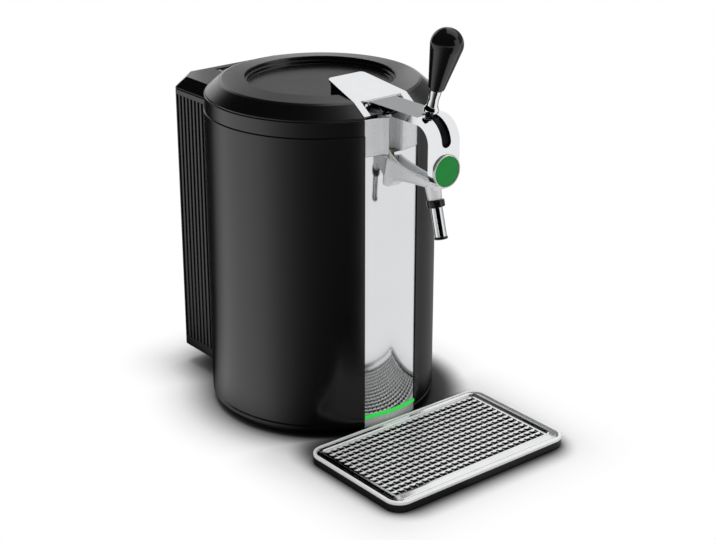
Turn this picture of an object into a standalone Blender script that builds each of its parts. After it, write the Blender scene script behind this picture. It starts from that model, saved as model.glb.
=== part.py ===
# Mini keg beer dispenser.
# Metres, +Z up. Sizes are given about the drum's vertical axis, on the floor, with the tap towards -Y.
# The finished machine stands centred over the world origin.
import math

import bmesh
import bpy
from mathutils import Matrix, Vector

# Clearances
SEAT_GAP = 0.0003
SHAFT_GAP = 0.0004
SLIDE_GAP = 0.0008
# How far a cutter runs past the faces that it cuts
CUT_MARGIN = 0.010
ROUND_STEPS = 56
INNER_STEPS = 48
CUTTER_STEPS = 128

# Drum, standing on its base plate and four feet
FOOT_HEIGHT = 0.0025
FOOT_RADIUS = 0.010
FOOT_INSET = 0.027
BASE_INSET = 0.007
BASE_HEIGHT = 0.0049
BASE_FLOOR = 0.003
BASE_RIM = 0.006
DRUM_RADIUS = 0.125
DRUM_HEIGHT = 0.3284
DRUM_WALL = 0.0025
DRUM_EDGE_RADIUS = 0.005
DRUM_FLANGE = 0.021
WINDOW_MARGIN = 0.003
WINDOW_HALF_HEIGHT = 0.110

# Band under the lid
COLLAR_INSET = 0.001
COLLAR_HEIGHT = 0.0166
COLLAR_LEDGE = 0.008
COLLAR_SEAT_WIDTH = 0.010
COLLAR_SEAT_DROP = 0.003
COLLAR_EDGE = 0.001

# Front panel, light line and the chrome band with the niche
PANEL_INSET = 0.001
PANEL_THICKNESS = 0.0025
PANEL_HALF_WIDTH = 0.0347
PANEL_FOOT_HEIGHT = 0.0102
PANEL_NOTCH = 0.009
LIGHT_HEIGHT = 0.0035
LIGHT_PROUD = 0.0002
FASCIA_HEIGHT = 0.039
FASCIA_TOP_DROP = 0.0004
NICHE_HALF_WIDTH = 0.008
NICHE_DEPTH = 0.012
NICHE_BEAD = 0.0022

# Keg well and foam
FOAM_DEPTH = 0.037
WELL_WALL = 0.0015
WELL_FLOOR = 0.050
WELL_CORNER = 0.004
WELL_RIM_HEIGHT = 0.0016
WELL_RIM_GAP = 0.0005
FOAM_CLEARANCE = 0.0011
BOARD_ROOM = 0.0048

# Lid
LID_INSET = 0.002
LID_BEVEL_WIDTH = 0.0158
LID_BEVEL_HEIGHT = 0.014
LID_RING_WIDTH = 0.0282
LID_CROWN = 0.0024
LID_SKIN = 0.0026
LID_EDGE = 0.0007
LID_LIP_HEIGHT = 0.002
DISH_DEPTH = 0.008
DISH_STEP = 0.0015
NOTCH_CUT = 0.0225
LINER_INSET = 0.0096
LINER_THICKNESS = 0.0017
GASKET_INSET = 0.002
GASKET_WIDTH = 0.006
GASKET_TAPER = 0.001

# Lid hinge, behind the drum
HINGE_OFFSET = 0.021
HINGE_DROP = 0.009
HINGE_BARREL_RADIUS = 0.0052
HINGE_BARREL_HALF = 0.026
HINGE_PIN_RADIUS = 0.002
HINGE_EAR = 0.004
HINGE_EAR_DEPTH = 0.009
HINGE_BRIDGE = 0.0022
TONGUE_THICKNESS = 0.0043
TONGUE_NECK_HALF = 0.025
TONGUE_ROOT_HALF = 0.072
TONGUE_WEB = 0.005
TONGUE_ROOT_INSET = 0.0151
TONGUE_OVERLAP = 0.030
TONGUE_ROOM = 0.0015
TONGUE_SHOULDER = 0.012
TONGUE_EAR_GAP = 0.002
HINGE_EAR_DROP = 0.0006
HINGE_ROOM = 0.0075

# Rear housing
HOUSING_HALF_WIDTH = 0.083
HOUSING_DEPTH = 0.040
HOUSING_OVERLAP = 0.0425
HOUSING_CORNER = 0.008
HOUSING_BOTTOM = 0.024
HOUSING_WALL = 0.004
HOUSING_DECK = 0.006
HOUSING_TOP_DROP = 0.0007
COVER_HEIGHT = 0.0139
COVER_EDGE = 0.0015
COVER_BEVEL = 0.0085
COVER_REAR_BEVEL = 0.002
RIB_PITCH = 0.007
RIB_GROOVE = 0.0032
RIB_DEPTH = 0.002
RIB_COUNT = 9
RIB_END = 0.012

# Cooling
GRILLE_HALF_WIDTH = 0.055
GRILLE_BOTTOM = 0.105
GRILLE_TOP = 0.300
GRILLE_BORDER = 0.007
GRILLE_MARGIN = 0.005
GRILLE_SLATS = 14
GRILLE_SLOT = 0.007
GRILLE_SLOT_RADIUS = 0.002
GRILLE_THICKNESS = 0.0025
GRILLE_INSET = 0.0006
FAN_HEIGHT = 0.180
FAN_HALF = 0.046
FAN_BORE = 0.042
FAN_CORNER = 0.006
FAN_DEPTH = 0.016
FAN_HUB = 0.014
FAN_STRUT = 0.004
FAN_STRUT_DEPTH = 0.003
FAN_BLADES = 7
FAN_BLADE = 0.0012
FAN_BLADE_WIDTH = 0.016
FAN_BLADE_ANGLE = 32.0
FAN_TIP_GAP = 0.0025
SINK_HALF_WIDTH = 0.047
SINK_HALF_HEIGHT = 0.060
SINK_BASE = 0.005
SINK_FINS = 14
SINK_FIN = 0.0014
SINK_FIN_LENGTH = 0.0189
MODULE_SIZE = 0.040
MODULE_THICKNESS = 0.004
MODULE_INSET = 0.0127
BLOCK_HALF = 0.025
BLOCK_ROOM = 0.001

# Electrics
SUPPLY_HALF_WIDTH = 0.038
SUPPLY_HEIGHT = 0.062
SUPPLY_DEPTH = 0.030
SUPPLY_GAP = 0.001
SOCKET_X = 0.055
SOCKET_HEIGHT = 0.060
SOCKET_INSET = 0.0005
INLET_HALF_WIDTH = 0.0135
INLET_HALF_HEIGHT = 0.010
INLET_DEPTH = 0.018
INLET_WALL = 0.003
INLET_PIN_RADIUS = 0.0012
INLET_PIN_SPACING = 0.008
SWITCH_HALF_WIDTH = 0.006
SWITCH_HALF_HEIGHT = 0.009
SWITCH_WALL = 0.003
SWITCH_DEPTH = 0.014
SWITCH_FLOOR = 0.002
SWITCH_PIVOT_DEPTH = 0.0055
ROCKER_BODY = 0.004
ROCKER_LOW = 0.0028
ROCKER_MIDDLE = 0.0042
ROCKER_HIGH = 0.0052
BOARD_HALF_WIDTH = 0.045
BOARD_HALF_DEPTH = 0.030
BOARD_THICKNESS = 0.0016
POST_HEIGHT = 0.0075
POST_RADIUS = 0.003
POST_INSET = 0.006

# Lower arm, funnel, spout and beer line
SPOUT_REACH = 0.0627
SPOUT_DROP = 0.0338
SPOUT_TILT = 15.0
CRADLE_HALF_WIDTH = 0.0078
CRADLE_SWELL = 0.0025
CRADLE_FLARE = 0.6
CRADLE_SAG = 0.010
CRADLE_FLARE_SAG = 0.006
CRADLE_RISE = 0.0115
CRADLE_FADE = 0.005
CRADLE_TIP_DROP = 0.0133
CRADLE_TIP_HEIGHT = 0.0085
CRADLE_WALL = 0.002
CRADLE_ROUNDING = 0.0028
FUNNEL_RADIUS = 0.0072
FUNNEL_FLARE = 0.0012
FUNNEL_HEIGHT = 0.016
COLLAR_RING_RADIUS = 0.0092
COLLAR_RING_HEIGHT = 0.0072
SPOUT_RADIUS = 0.0062
SPOUT_LENGTH = 0.030
TIP_RADIUS = 0.0069
TIP_HEIGHT = 0.0024
LINE_RADIUS = 0.0026
LINE_BORE = 0.0016
LINE_CLEARANCE = 0.0005
LINE_OFFSET = 0.0044

# Polished plate on the lid
PLATE_REAR_INSET = 0.036
PLATE_KNEE_INSET = 0.006
PLATE_RISE = 0.0114
PLATE_REAR_HALF = 0.0245
PLATE_FRONT_HALF = 0.0345
PLATE_THICKNESS = 0.0022
PLATE_LEG_WIDTH = 0.0085
PLATE_CORNER = 0.006
PLATE_OVERHANG = 0.0012
PLATE_ROOM = 0.030
PLATE_TOE_GAP = 0.0004

# Upper arm, bent over as an arch about the lever's axis
ARCH_REACH = 0.0525
ARCH_RADIUS = 0.0255
ARM_DROP = 0.0011
ARM_DEPTH = 0.0075
ARM_HALF_WIDTH = 0.0175
ARM_SKIN = 0.0022
ARM_CHANNEL_HALF = 0.0125
ARM_ROOT_GAP = 0.0011
ARM_FLARE_LENGTH = 0.009
SLOT_HALF_WIDTH = 0.006
SLOT_START = 14.0
SLOT_END = 83.0
BADGE_DROP = 0.0267
BADGE_RING_RADIUS = 0.0172
BADGE_RING_DEPTH = 0.002
BADGE_RADIUS = 0.0155
BADGE_DEPTH = 0.0014

# Lever
LEVER_TILT = 16.8
LEVER_FOOT_DEPTH = 0.001
CARRIAGE_THICKNESS = 0.0029
CARRIAGE_SIDE_GAP = 0.0005
CARRIAGE_BACK = 14.0
CARRIAGE_FRONT = 98.0
SHANK_RADIUS = 0.0052
SHANK_TOP_RADIUS = 0.006
SHANK_FLARE_RADIUS = 0.0078
SHANK_LENGTH = 0.0295
GRIP_RADIUS = 0.0165
GRIP_FOOT_RADIUS = 0.0082
GRIP_LENGTH = 0.066
GRIP_EDGE = 0.0012

# Drip tray
TRAY_GAP = 0.0023
TRAY_HALF_WIDTH = 0.1195
TRAY_DEPTH = 0.1467
TRAY_CORNER = 0.0172
TRAY_HEIGHT = 0.008
TRAY_WALL = 0.0024
TRAY_FLOOR = 0.002
TRAY_DRAFT = 0.001
TRAY_INSET = 0.0002
TRAY_TAB_HALF = 0.030
TRAY_TAB_LENGTH = 0.0223
RIM_HEIGHT = 0.0037
RIM_LIP = 0.0026
RIM_EDGE = 0.0008
RIM_SIDE = 0.0135
RIM_REAR = 0.0085
RIM_FRONT = 0.0175
FIELD_CORNER = 0.004
FIELD_DROP = 0.0021
SHEET_DROP = 0.0004
SHEET_THICKNESS = 0.001
SHEET_OVERLAP = 0.0006
SHEET_MARGIN = 0.002
HOLE_COLUMNS = 16
HOLE_ROWS = 9
HOLE_SHARE = 0.68

# Radii that follow from the drum's
BASE_RADIUS = DRUM_RADIUS - BASE_INSET
FOOT_CIRCLE = DRUM_RADIUS - FOOT_INSET
COLLAR_RADIUS = DRUM_RADIUS - COLLAR_INSET
PANEL_RADIUS = DRUM_RADIUS - PANEL_INSET
LIGHT_RADIUS = DRUM_RADIUS + LIGHT_PROUD
LID_RADIUS = DRUM_RADIUS - LID_INSET
LID_TOP_RADIUS = LID_RADIUS - LID_BEVEL_WIDTH
DISH_RADIUS = LID_TOP_RADIUS - LID_RING_WIDTH
LINER_RADIUS = LID_RADIUS - LINER_INSET
NOTCH_DEPTH = LID_RADIUS - NOTCH_CUT
NOTCH_HALF_WIDTH = PLATE_FRONT_HALF + SEAT_GAP
WELL_RADIUS = DRUM_RADIUS - FOAM_DEPTH
COLLAR_BORE = WELL_RADIUS + COLLAR_LEDGE
COLLAR_SEAT_RADIUS = COLLAR_BORE + COLLAR_SEAT_WIDTH
GASKET_RADIUS = COLLAR_SEAT_RADIUS - GASKET_INSET
WELL_RIM_RADIUS = COLLAR_BORE - WELL_RIM_GAP
PANEL_CORNER = math.sqrt((PANEL_RADIUS - PANEL_THICKNESS) ** 2 - PANEL_HALF_WIDTH**2)
NICHE_BACK = PANEL_RADIUS - NICHE_DEPTH

# Heights that follow, from the feet up
BASE_Z = FOOT_HEIGHT + SEAT_GAP
BASE_TOP = BASE_Z + BASE_HEIGHT
BOARD_Z = BASE_Z + BASE_FLOOR + POST_HEIGHT + SEAT_GAP
FOAM_FLOOR = BOARD_Z + BOARD_THICKNESS + BOARD_ROOM
DRUM_BOTTOM = BASE_TOP + SEAT_GAP
DRUM_TOP = DRUM_BOTTOM + DRUM_HEIGHT
COLLAR_Z = DRUM_TOP + SEAT_GAP
COLLAR_TOP = COLLAR_Z + COLLAR_HEIGHT
SEAT_Z = COLLAR_TOP - COLLAR_SEAT_DROP
WELL_RIM_TOP = COLLAR_Z + WELL_RIM_HEIGHT
PANEL_TOP = COLLAR_TOP - FASCIA_HEIGHT
LIGHT_BOTTOM = DRUM_BOTTOM + PANEL_FOOT_HEIGHT + SEAT_GAP
LIGHT_TOP = LIGHT_BOTTOM + LIGHT_HEIGHT
LID_Z = COLLAR_TOP + SEAT_GAP
LID_SHOULDER = LID_Z + LID_BEVEL_HEIGHT
LID_CROWN_Z = LID_SHOULDER + LID_CROWN
DISH_Z = LID_CROWN_Z - DISH_DEPTH
TRAY_RIM_Z = TRAY_HEIGHT + SEAT_GAP
TRAY_RIM_TOP = TRAY_RIM_Z + RIM_HEIGHT
CUT_LOW = -CUT_MARGIN
CUT_HIGH = LID_CROWN_Z + PLATE_RISE + CUT_MARGIN

# Places behind the drum
HINGE_Y = DRUM_RADIUS + HINGE_OFFSET
HINGE_Z = LID_Z - HINGE_DROP
TONGUE_HIGH = HINGE_Z + HINGE_BARREL_RADIUS
TONGUE_LOW = TONGUE_HIGH - TONGUE_THICKNESS
TONGUE_ROOT_Y = LINER_RADIUS - TONGUE_ROOT_INSET
TONGUE_FRONT = DRUM_RADIUS - TONGUE_OVERLAP
HOUSING_REAR = DRUM_RADIUS + HOUSING_DEPTH
HOUSING_FRONT = DRUM_RADIUS - HOUSING_OVERLAP
HOUSING_DECK_TOP = DRUM_TOP - HOUSING_TOP_DROP
COVER_Z = HOUSING_DECK_TOP + SEAT_GAP
COVER_TOP = COVER_Z + COVER_HEIGHT
WINDOW_HALF_WIDTH = SINK_HALF_WIDTH + WINDOW_MARGIN
MODULE_FRONT = DRUM_RADIUS - MODULE_INSET
SINK_FRONT = MODULE_FRONT + MODULE_THICKNESS + SEAT_GAP
SINK_REAR = SINK_FRONT + SINK_BASE + SINK_FIN_LENGTH
FAN_FRONT = SINK_REAR + SEAT_GAP
FAN_REAR = FAN_FRONT + FAN_DEPTH
SWITCH_PIVOT = HOUSING_REAR - SWITCH_PIVOT_DEPTH
INLET_X = -SOCKET_X
SWITCH_X = SOCKET_X

# Places in front of the drum
SPOUT_Y = -DRUM_RADIUS - SPOUT_REACH
SPOUT_Z = PANEL_TOP - SPOUT_DROP
SPOUT_BORE = LINE_RADIUS + LINE_CLEARANCE
CRADLE_ROOT_Y = -PANEL_CORNER + SLIDE_GAP
CRADLE_TIP_Y = SPOUT_Y - FUNNEL_RADIUS
CRADLE_TIP_TOP = PANEL_TOP - CRADLE_TIP_DROP
CRADLE_TIP_BOTTOM = CRADLE_TIP_TOP - CRADLE_TIP_HEIGHT
PLATE_REAR_Y = -DISH_RADIUS + PLATE_REAR_INSET
PLATE_KNEE_Y = -LID_TOP_RADIUS + PLATE_KNEE_INSET
ARCH_Y = -DRUM_RADIUS - ARCH_REACH
ARCH_Z = LID_SHOULDER - ARM_DROP - ARCH_RADIUS
ARM_FACE = ARCH_Y - ARCH_RADIUS
ARM_START = -NOTCH_DEPTH - ARM_ROOT_GAP
ARM_FLARE_HALF = PLATE_FRONT_HALF - PLATE_LEG_WIDTH - SEAT_GAP * 2
CHANNEL_RADIUS = ARCH_RADIUS - ARM_SKIN
CARRIAGE_RADIUS = CHANNEL_RADIUS - SHAFT_GAP
CARRIAGE_HALF_WIDTH = ARM_CHANNEL_HALF - CARRIAGE_SIDE_GAP
LEVER_OFFSET = ARCH_RADIUS - LEVER_FOOT_DEPTH
PLATE_FRONT_Z = LID_SHOULDER
BADGE_Z = ARCH_Z - BADGE_DROP
TRAY_REAR = -DRUM_RADIUS - TRAY_GAP
TRAY_FRONT = TRAY_REAR - TRAY_DEPTH
TRAY_TAB_REAR = TRAY_REAR + TRAY_TAB_LENGTH
FIELD_HALF_WIDTH = TRAY_HALF_WIDTH - RIM_SIDE
FIELD_FRONT = TRAY_FRONT + RIM_FRONT
FIELD_REAR = TRAY_REAR - RIM_REAR
FRAME_SHIFT = -(TRAY_FRONT + HOUSING_REAR) / 2

FINISHES = {}


def clear_scene():
    for obj in list(bpy.data.objects):
        bpy.data.objects.remove(obj, do_unlink=True)


def new_collection(name):
    collection = bpy.data.collections.new(name)
    bpy.context.scene.collection.children.link(collection)
    return collection


def finish(name, colour, roughness, metallic=0.0):
    """One Principled material for each finish, made once and shared."""
    if name not in FINISHES:
        material = bpy.data.materials.new(name)
        material.use_nodes = True
        shader = material.node_tree.nodes["Principled BSDF"]
        shader.inputs["Base Color"].default_value = (*colour, 1.0)
        shader.inputs["Roughness"].default_value = roughness
        shader.inputs["Metallic"].default_value = metallic
        FINISHES[name] = material
    return FINISHES[name]


def black_plastic():
    return finish("black_satin_plastic", (0.012, 0.012, 0.013), 0.4)


def grey_plastic():
    return finish("grey_inner_plastic", (0.32, 0.33, 0.34), 0.55)


def rubber():
    return finish("rubber", (0.02, 0.02, 0.02), 0.85)


def chrome():
    return finish("chrome_plating", (0.78, 0.79, 0.80), 0.1, 1.0)


def mirror_steel():
    return finish("mirror_steel", (0.82, 0.83, 0.84), 0.06, 1.0)


def brushed_steel():
    return finish("brushed_steel", (0.62, 0.63, 0.64), 0.3, 1.0)


def aluminium():
    return finish("aluminium", (0.70, 0.71, 0.72), 0.35, 1.0)


def green_enamel():
    return finish("green_enamel", (0.01, 0.25, 0.06), 0.25)


def green_light():
    return finish("green_light_guide", (0.05, 0.85, 0.12), 0.3)


# Shapes start as hidden helpers. place() turns a finished one into a part.


def helper(name, mesh):
    obj = bpy.data.objects.new(name, mesh)
    HELPERS.objects.link(obj)
    obj.hide_render = True
    obj.display_type = "WIRE"
    return obj


def mesh_from(name, bm):
    mesh = bpy.data.meshes.new(name)
    bm.to_mesh(mesh)
    bm.free()
    return mesh


def box(name, low, high):
    bm = bmesh.new()
    bmesh.ops.create_cube(bm, size=1.0)
    low, high = Vector(low), Vector(high)
    size = high - low
    bmesh.ops.transform(bm, matrix=Matrix.Diagonal((*size, 1.0)), verts=bm.verts)
    bmesh.ops.translate(bm, vec=(low + high) / 2, verts=bm.verts)
    return helper(name, mesh_from(name, bm))


def rod(name, start, end, radius, end_radius=None, steps=24):
    """A cylinder or a cone from one point to another."""
    start, end = Vector(start), Vector(end)
    axis = end - start
    bm = bmesh.new()
    bmesh.ops.create_cone(
        bm,
        cap_ends=True,
        segments=steps,
        radius1=radius,
        radius2=radius if end_radius is None else end_radius,
        depth=axis.length,
    )
    turn = Vector((0, 0, 1)).rotation_difference(axis).to_matrix().to_4x4()
    bmesh.ops.transform(bm, matrix=Matrix.Translation((start + end) / 2) @ turn, verts=bm.verts)
    mesh = mesh_from(name, bm)
    mesh.shade_smooth()
    mesh.set_sharp_from_angle(angle=math.radians(40))
    return helper(name, mesh)


def turned(name, profile, steps=ROUND_STEPS):
    """A profile of (radius, height) pairs, running down its outer side, turned about the vertical axis.

    A profile that starts and ends on the axis stays open there. Any other is closed into a ring.
    """
    on_axis = profile[0][0] == 0 and profile[-1][0] == 0
    bm = bmesh.new()
    verts = [bm.verts.new((radius, 0, height)) for radius, height in profile]
    for first, second in zip(verts, verts[1:]):
        bm.edges.new((first, second))
    if not on_axis:
        bm.edges.new((verts[-1], verts[0]))
    obj = helper(name, mesh_from(name, bm))
    screw = obj.modifiers.new("turn", "SCREW")
    screw.steps = steps
    screw.render_steps = steps
    screw.use_merge_vertices = True
    screw.merge_threshold = 0.00001
    screw.use_smooth_shade = True
    return obj


def arc(centre, radius, start, end, steps):
    """Points round a circle between two angles in degrees, both ends included."""
    found = []
    for i in range(steps + 1):
        angle = math.radians(start + (end - start) * i / steps)
        found.append((centre[0] + radius * math.cos(angle), centre[1] + radius * math.sin(angle)))
    return found


def rounded_rectangle(low, high, radius, steps=4):
    """The outline from one corner to the other, anticlockwise."""
    corners = (
        ((high[0] - radius, high[1] - radius), 0),
        ((low[0] + radius, high[1] - radius), 90),
        ((low[0] + radius, low[1] + radius), 180),
        ((high[0] - radius, low[1] + radius), 270),
    )
    points = []
    for centre, start in corners:
        points += arc(centre, radius, start, start + 90, steps)
    return points


PLAN = Matrix.Identity(4)
SIDE = Matrix(((0, 0, 1, 0), (1, 0, 0, 0), (0, 1, 0, 0), (0, 0, 0, 1)))
FRONT = Matrix(((1, 0, 0, 0), (0, 0, -1, 0), (0, 1, 0, 0), (0, 0, 0, 1)))


def extruded(name, outlines, start, end, view=PLAN):
    """Flat outlines, the first one round any others, extruded between two depths of a view.

    PLAN outlines are (x, y) and rise in z. SIDE outlines are (y, z) and run in x.
    FRONT outlines are (x, z) and run in -y.
    """
    curve = bpy.data.curves.new(name, "CURVE")
    curve.dimensions = "2D"
    curve.fill_mode = "BOTH"
    curve.extrude = (end - start) / 2
    for outline in outlines:
        spline = curve.splines.new("POLY")
        spline.points.add(len(outline) - 1)
        for point, (u, v) in zip(spline.points, outline):
            point.co = (u, v, 0.0, 1.0)
        spline.use_cyclic_u = True
    drawn = bpy.data.objects.new(name + "_outline", curve)
    HELPERS.objects.link(drawn)
    graph = bpy.context.evaluated_depsgraph_get()
    mesh = bpy.data.meshes.new_from_object(drawn.evaluated_get(graph))
    bpy.data.objects.remove(drawn)
    bm = bmesh.new()
    bm.from_mesh(mesh)
    bmesh.ops.remove_doubles(bm, verts=bm.verts, dist=0.000001)
    shift = Matrix.Translation((0, 0, (start + end) / 2))
    bmesh.ops.transform(bm, matrix=view @ shift, verts=bm.verts)
    bmesh.ops.recalc_face_normals(bm, faces=bm.faces)
    bm.to_mesh(mesh)
    bm.free()
    mesh.name = name
    return helper(name, mesh)


def lofted(name, rings, ring_shaped=False):
    """A skin over rings of equal point counts, capped, or joined end to end when ring_shaped."""
    bm = bmesh.new()
    rows = [[bm.verts.new(point) for point in ring] for ring in rings]
    pairs = list(zip(rows, rows[1:]))
    if ring_shaped:
        pairs.append((rows[-1], rows[0]))
    count = len(rows[0])
    for lower, upper in pairs:
        for i in range(count):
            j = (i + 1) % count
            bm.faces.new((lower[i], lower[j], upper[j], upper[i]))
    if not ring_shaped:
        bm.faces.new(rows[0])
        bm.faces.new(rows[-1])
    bmesh.ops.recalc_face_normals(bm, faces=bm.faces)
    return helper(name, mesh_from(name, bm))


def piped(name, points, radius, sides=2):
    """A tube along points, with filled caps, as a mesh."""
    curve = bpy.data.curves.new(name, "CURVE")
    curve.dimensions = "3D"
    curve.bevel_depth = radius
    curve.bevel_resolution = sides
    curve.use_fill_caps = True
    spline = curve.splines.new("POLY")
    spline.points.add(len(points) - 1)
    for point, place in zip(spline.points, points):
        point.co = (*place, 1.0)
    drawn = bpy.data.objects.new(name + "_path", curve)
    HELPERS.objects.link(drawn)
    graph = bpy.context.evaluated_depsgraph_get()
    mesh = bpy.data.meshes.new_from_object(drawn.evaluated_get(graph))
    bpy.data.objects.remove(drawn)
    bm = bmesh.new()
    bm.from_mesh(mesh)
    bmesh.ops.remove_doubles(bm, verts=bm.verts, dist=0.000001)
    bmesh.ops.recalc_face_normals(bm, faces=bm.faces)
    bm.to_mesh(mesh)
    bm.free()
    mesh.shade_smooth()
    return helper(name, mesh)


def add_booleans(part, operation, tools):
    for tool in tools:
        modifier = part.modifiers.new(operation.lower(), "BOOLEAN")
        modifier.operation = operation
        modifier.solver = "EXACT"
        modifier.object = tool


def cut(part, *tools):
    add_booleans(part, "DIFFERENCE", tools)


def join(part, *tools):
    add_booleans(part, "UNION", tools)


def keep_inside(part, *tools):
    add_booleans(part, "INTERSECT", tools)


def new_body(name, pivot=(0, 0, 0), parent=None):
    """An empty on a moving piece's axis, or the machine's own frame."""
    empty = bpy.data.objects.new(name, None)
    empty.empty_display_size = 0.02
    PARTS.objects.link(empty)
    if parent:
        empty.parent = parent
        empty.location = Vector(pivot) - Vector(parent["pivot"])
    empty["pivot"] = pivot
    return empty


def hang(obj, body):
    obj.parent = body
    obj.location = -Vector(body["pivot"])
    for modifier in obj.modifiers:
        if modifier.type == "BOOLEAN" and modifier.object:
            hang(modifier.object, body)


def place(part, body, material):
    """Make a helper a visible part of a body, with the shapes that cut or join it."""
    part.data.materials.clear()
    part.data.materials.append(material)
    HELPERS.objects.unlink(part)
    PARTS.objects.link(part)
    part.hide_render = False
    part.display_type = "TEXTURED"
    hang(part, body)
    return part


def front_arc(radius, low, high, steps=8):
    """Points of the drum's circle that face the front, from one x to another."""
    first = math.asin(low / radius)
    last = math.asin(high / radius)
    points = []
    for i in range(steps + 1):
        angle = first + (last - first) * i / steps
        points.append((radius * math.sin(angle), -radius * math.cos(angle)))
    return points


def arc_band(outer, thickness, half_width):
    inner = front_arc(outer - thickness, -half_width, half_width)
    return front_arc(outer, -half_width, half_width) + inner[::-1]


def front_notch(name, half_width, inner, bottom, top):
    """A cutter for an opening in the front of a round piece, deeper than that piece."""
    return box(name, (-half_width, -DRUM_RADIUS - CUT_MARGIN, bottom), (half_width, -inner, top))


# Drum and what stands inside it


def make_base(body):
    plate = turned(
        "base_plate",
        [
            (0, BASE_Z + BASE_FLOOR),
            (BASE_RADIUS - BASE_RIM, BASE_Z + BASE_FLOOR),
            (BASE_RADIUS - BASE_RIM, BASE_TOP),
            (BASE_RADIUS, BASE_TOP),
            (BASE_RADIUS, BASE_Z),
            (0, BASE_Z),
        ],
        INNER_STEPS,
    )
    post_top = BOARD_Z - SEAT_GAP
    for i, (x, y) in enumerate(((-1, -1), (1, -1), (-1, 1), (1, 1))):
        px = x * (BOARD_HALF_WIDTH - POST_INSET)
        py = y * (BOARD_HALF_DEPTH - POST_INSET)
        foot_z = BASE_Z + BASE_FLOOR / 2
        join(plate, rod(f"board_post_{i + 1}", (px, py, foot_z), (px, py, post_top), POST_RADIUS, steps=12))
    place(plate, body, black_plastic())

    board = box(
        "control_board",
        (-BOARD_HALF_WIDTH, -BOARD_HALF_DEPTH, BOARD_Z),
        (BOARD_HALF_WIDTH, BOARD_HALF_DEPTH, BOARD_Z + BOARD_THICKNESS),
    )
    place(board, body, finish("green_circuit_board", (0.02, 0.18, 0.07), 0.5))
    for i in range(4):
        angle = math.radians(45 + 90 * i)
        x = FOOT_CIRCLE * math.cos(angle)
        y = FOOT_CIRCLE * math.sin(angle)
        place(rod(f"foot_{i + 1}", (x, y, 0), (x, y, FOOT_HEIGHT), FOOT_RADIUS), body, rubber())


def make_casing(body):
    edge = arc(
        (DRUM_RADIUS - DRUM_EDGE_RADIUS, DRUM_BOTTOM + DRUM_EDGE_RADIUS), DRUM_EDGE_RADIUS, 0, -90, 4
    )
    inner = DRUM_RADIUS - DRUM_WALL
    flange = DRUM_RADIUS - DRUM_FLANGE
    floor = DRUM_BOTTOM + DRUM_WALL
    casing = turned(
        "drum_casing",
        [(DRUM_RADIUS, DRUM_TOP)]
        + edge
        + [
            (flange, DRUM_BOTTOM),
            (flange, floor),
            (inner - DRUM_EDGE_RADIUS / 2, floor),
            (inner, floor + DRUM_EDGE_RADIUS / 2),
            (inner, DRUM_TOP),
        ],
    )
    opening = front_notch(
        "casing_front_cutter",
        PANEL_HALF_WIDTH + SEAT_GAP,
        PANEL_CORNER - SEAT_GAP * 2,
        CUT_LOW,
        CUT_HIGH,
    )
    window = box(
        "casing_window_cutter",
        (-WINDOW_HALF_WIDTH, MODULE_FRONT - CUT_MARGIN, FAN_HEIGHT - WINDOW_HALF_HEIGHT),
        (WINDOW_HALF_WIDTH, DRUM_RADIUS + CUT_MARGIN, FAN_HEIGHT + WINDOW_HALF_HEIGHT),
    )
    cut(casing, opening, window)
    place(casing, body, black_plastic())


def make_collar(body):
    collar = turned(
        "top_collar",
        [
            (COLLAR_RADIUS - COLLAR_EDGE, COLLAR_TOP),
            (COLLAR_RADIUS, COLLAR_TOP - COLLAR_EDGE),
            (COLLAR_RADIUS, COLLAR_Z),
            (COLLAR_BORE, COLLAR_Z),
            (COLLAR_BORE, SEAT_Z),
            (COLLAR_SEAT_RADIUS, SEAT_Z),
            (COLLAR_SEAT_RADIUS + COLLAR_EDGE, COLLAR_TOP),
        ],
    )
    cut(
        collar,
        front_notch(
            "collar_front_cutter",
            PANEL_HALF_WIDTH + SEAT_GAP,
            NICHE_BACK - PANEL_THICKNESS - TONGUE_ROOM,
            CUT_LOW,
            CUT_HIGH,
        ),
        box(
            "collar_line_cutter",
            (-NICHE_HALF_WIDTH - SLIDE_GAP, -COLLAR_RADIUS, CUT_LOW),
            (NICHE_HALF_WIDTH + SLIDE_GAP, -COLLAR_BORE + CUT_MARGIN, CUT_HIGH),
        ),
        box(
            "collar_tongue_cutter",
            (-TONGUE_NECK_HALF - TONGUE_ROOM, COLLAR_BORE - CUT_MARGIN, TONGUE_LOW - SLIDE_GAP),
            (TONGUE_NECK_HALF + TONGUE_ROOM, COLLAR_RADIUS + CUT_MARGIN, CUT_HIGH),
        ),
    )
    place(collar, body, black_plastic())


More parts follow.
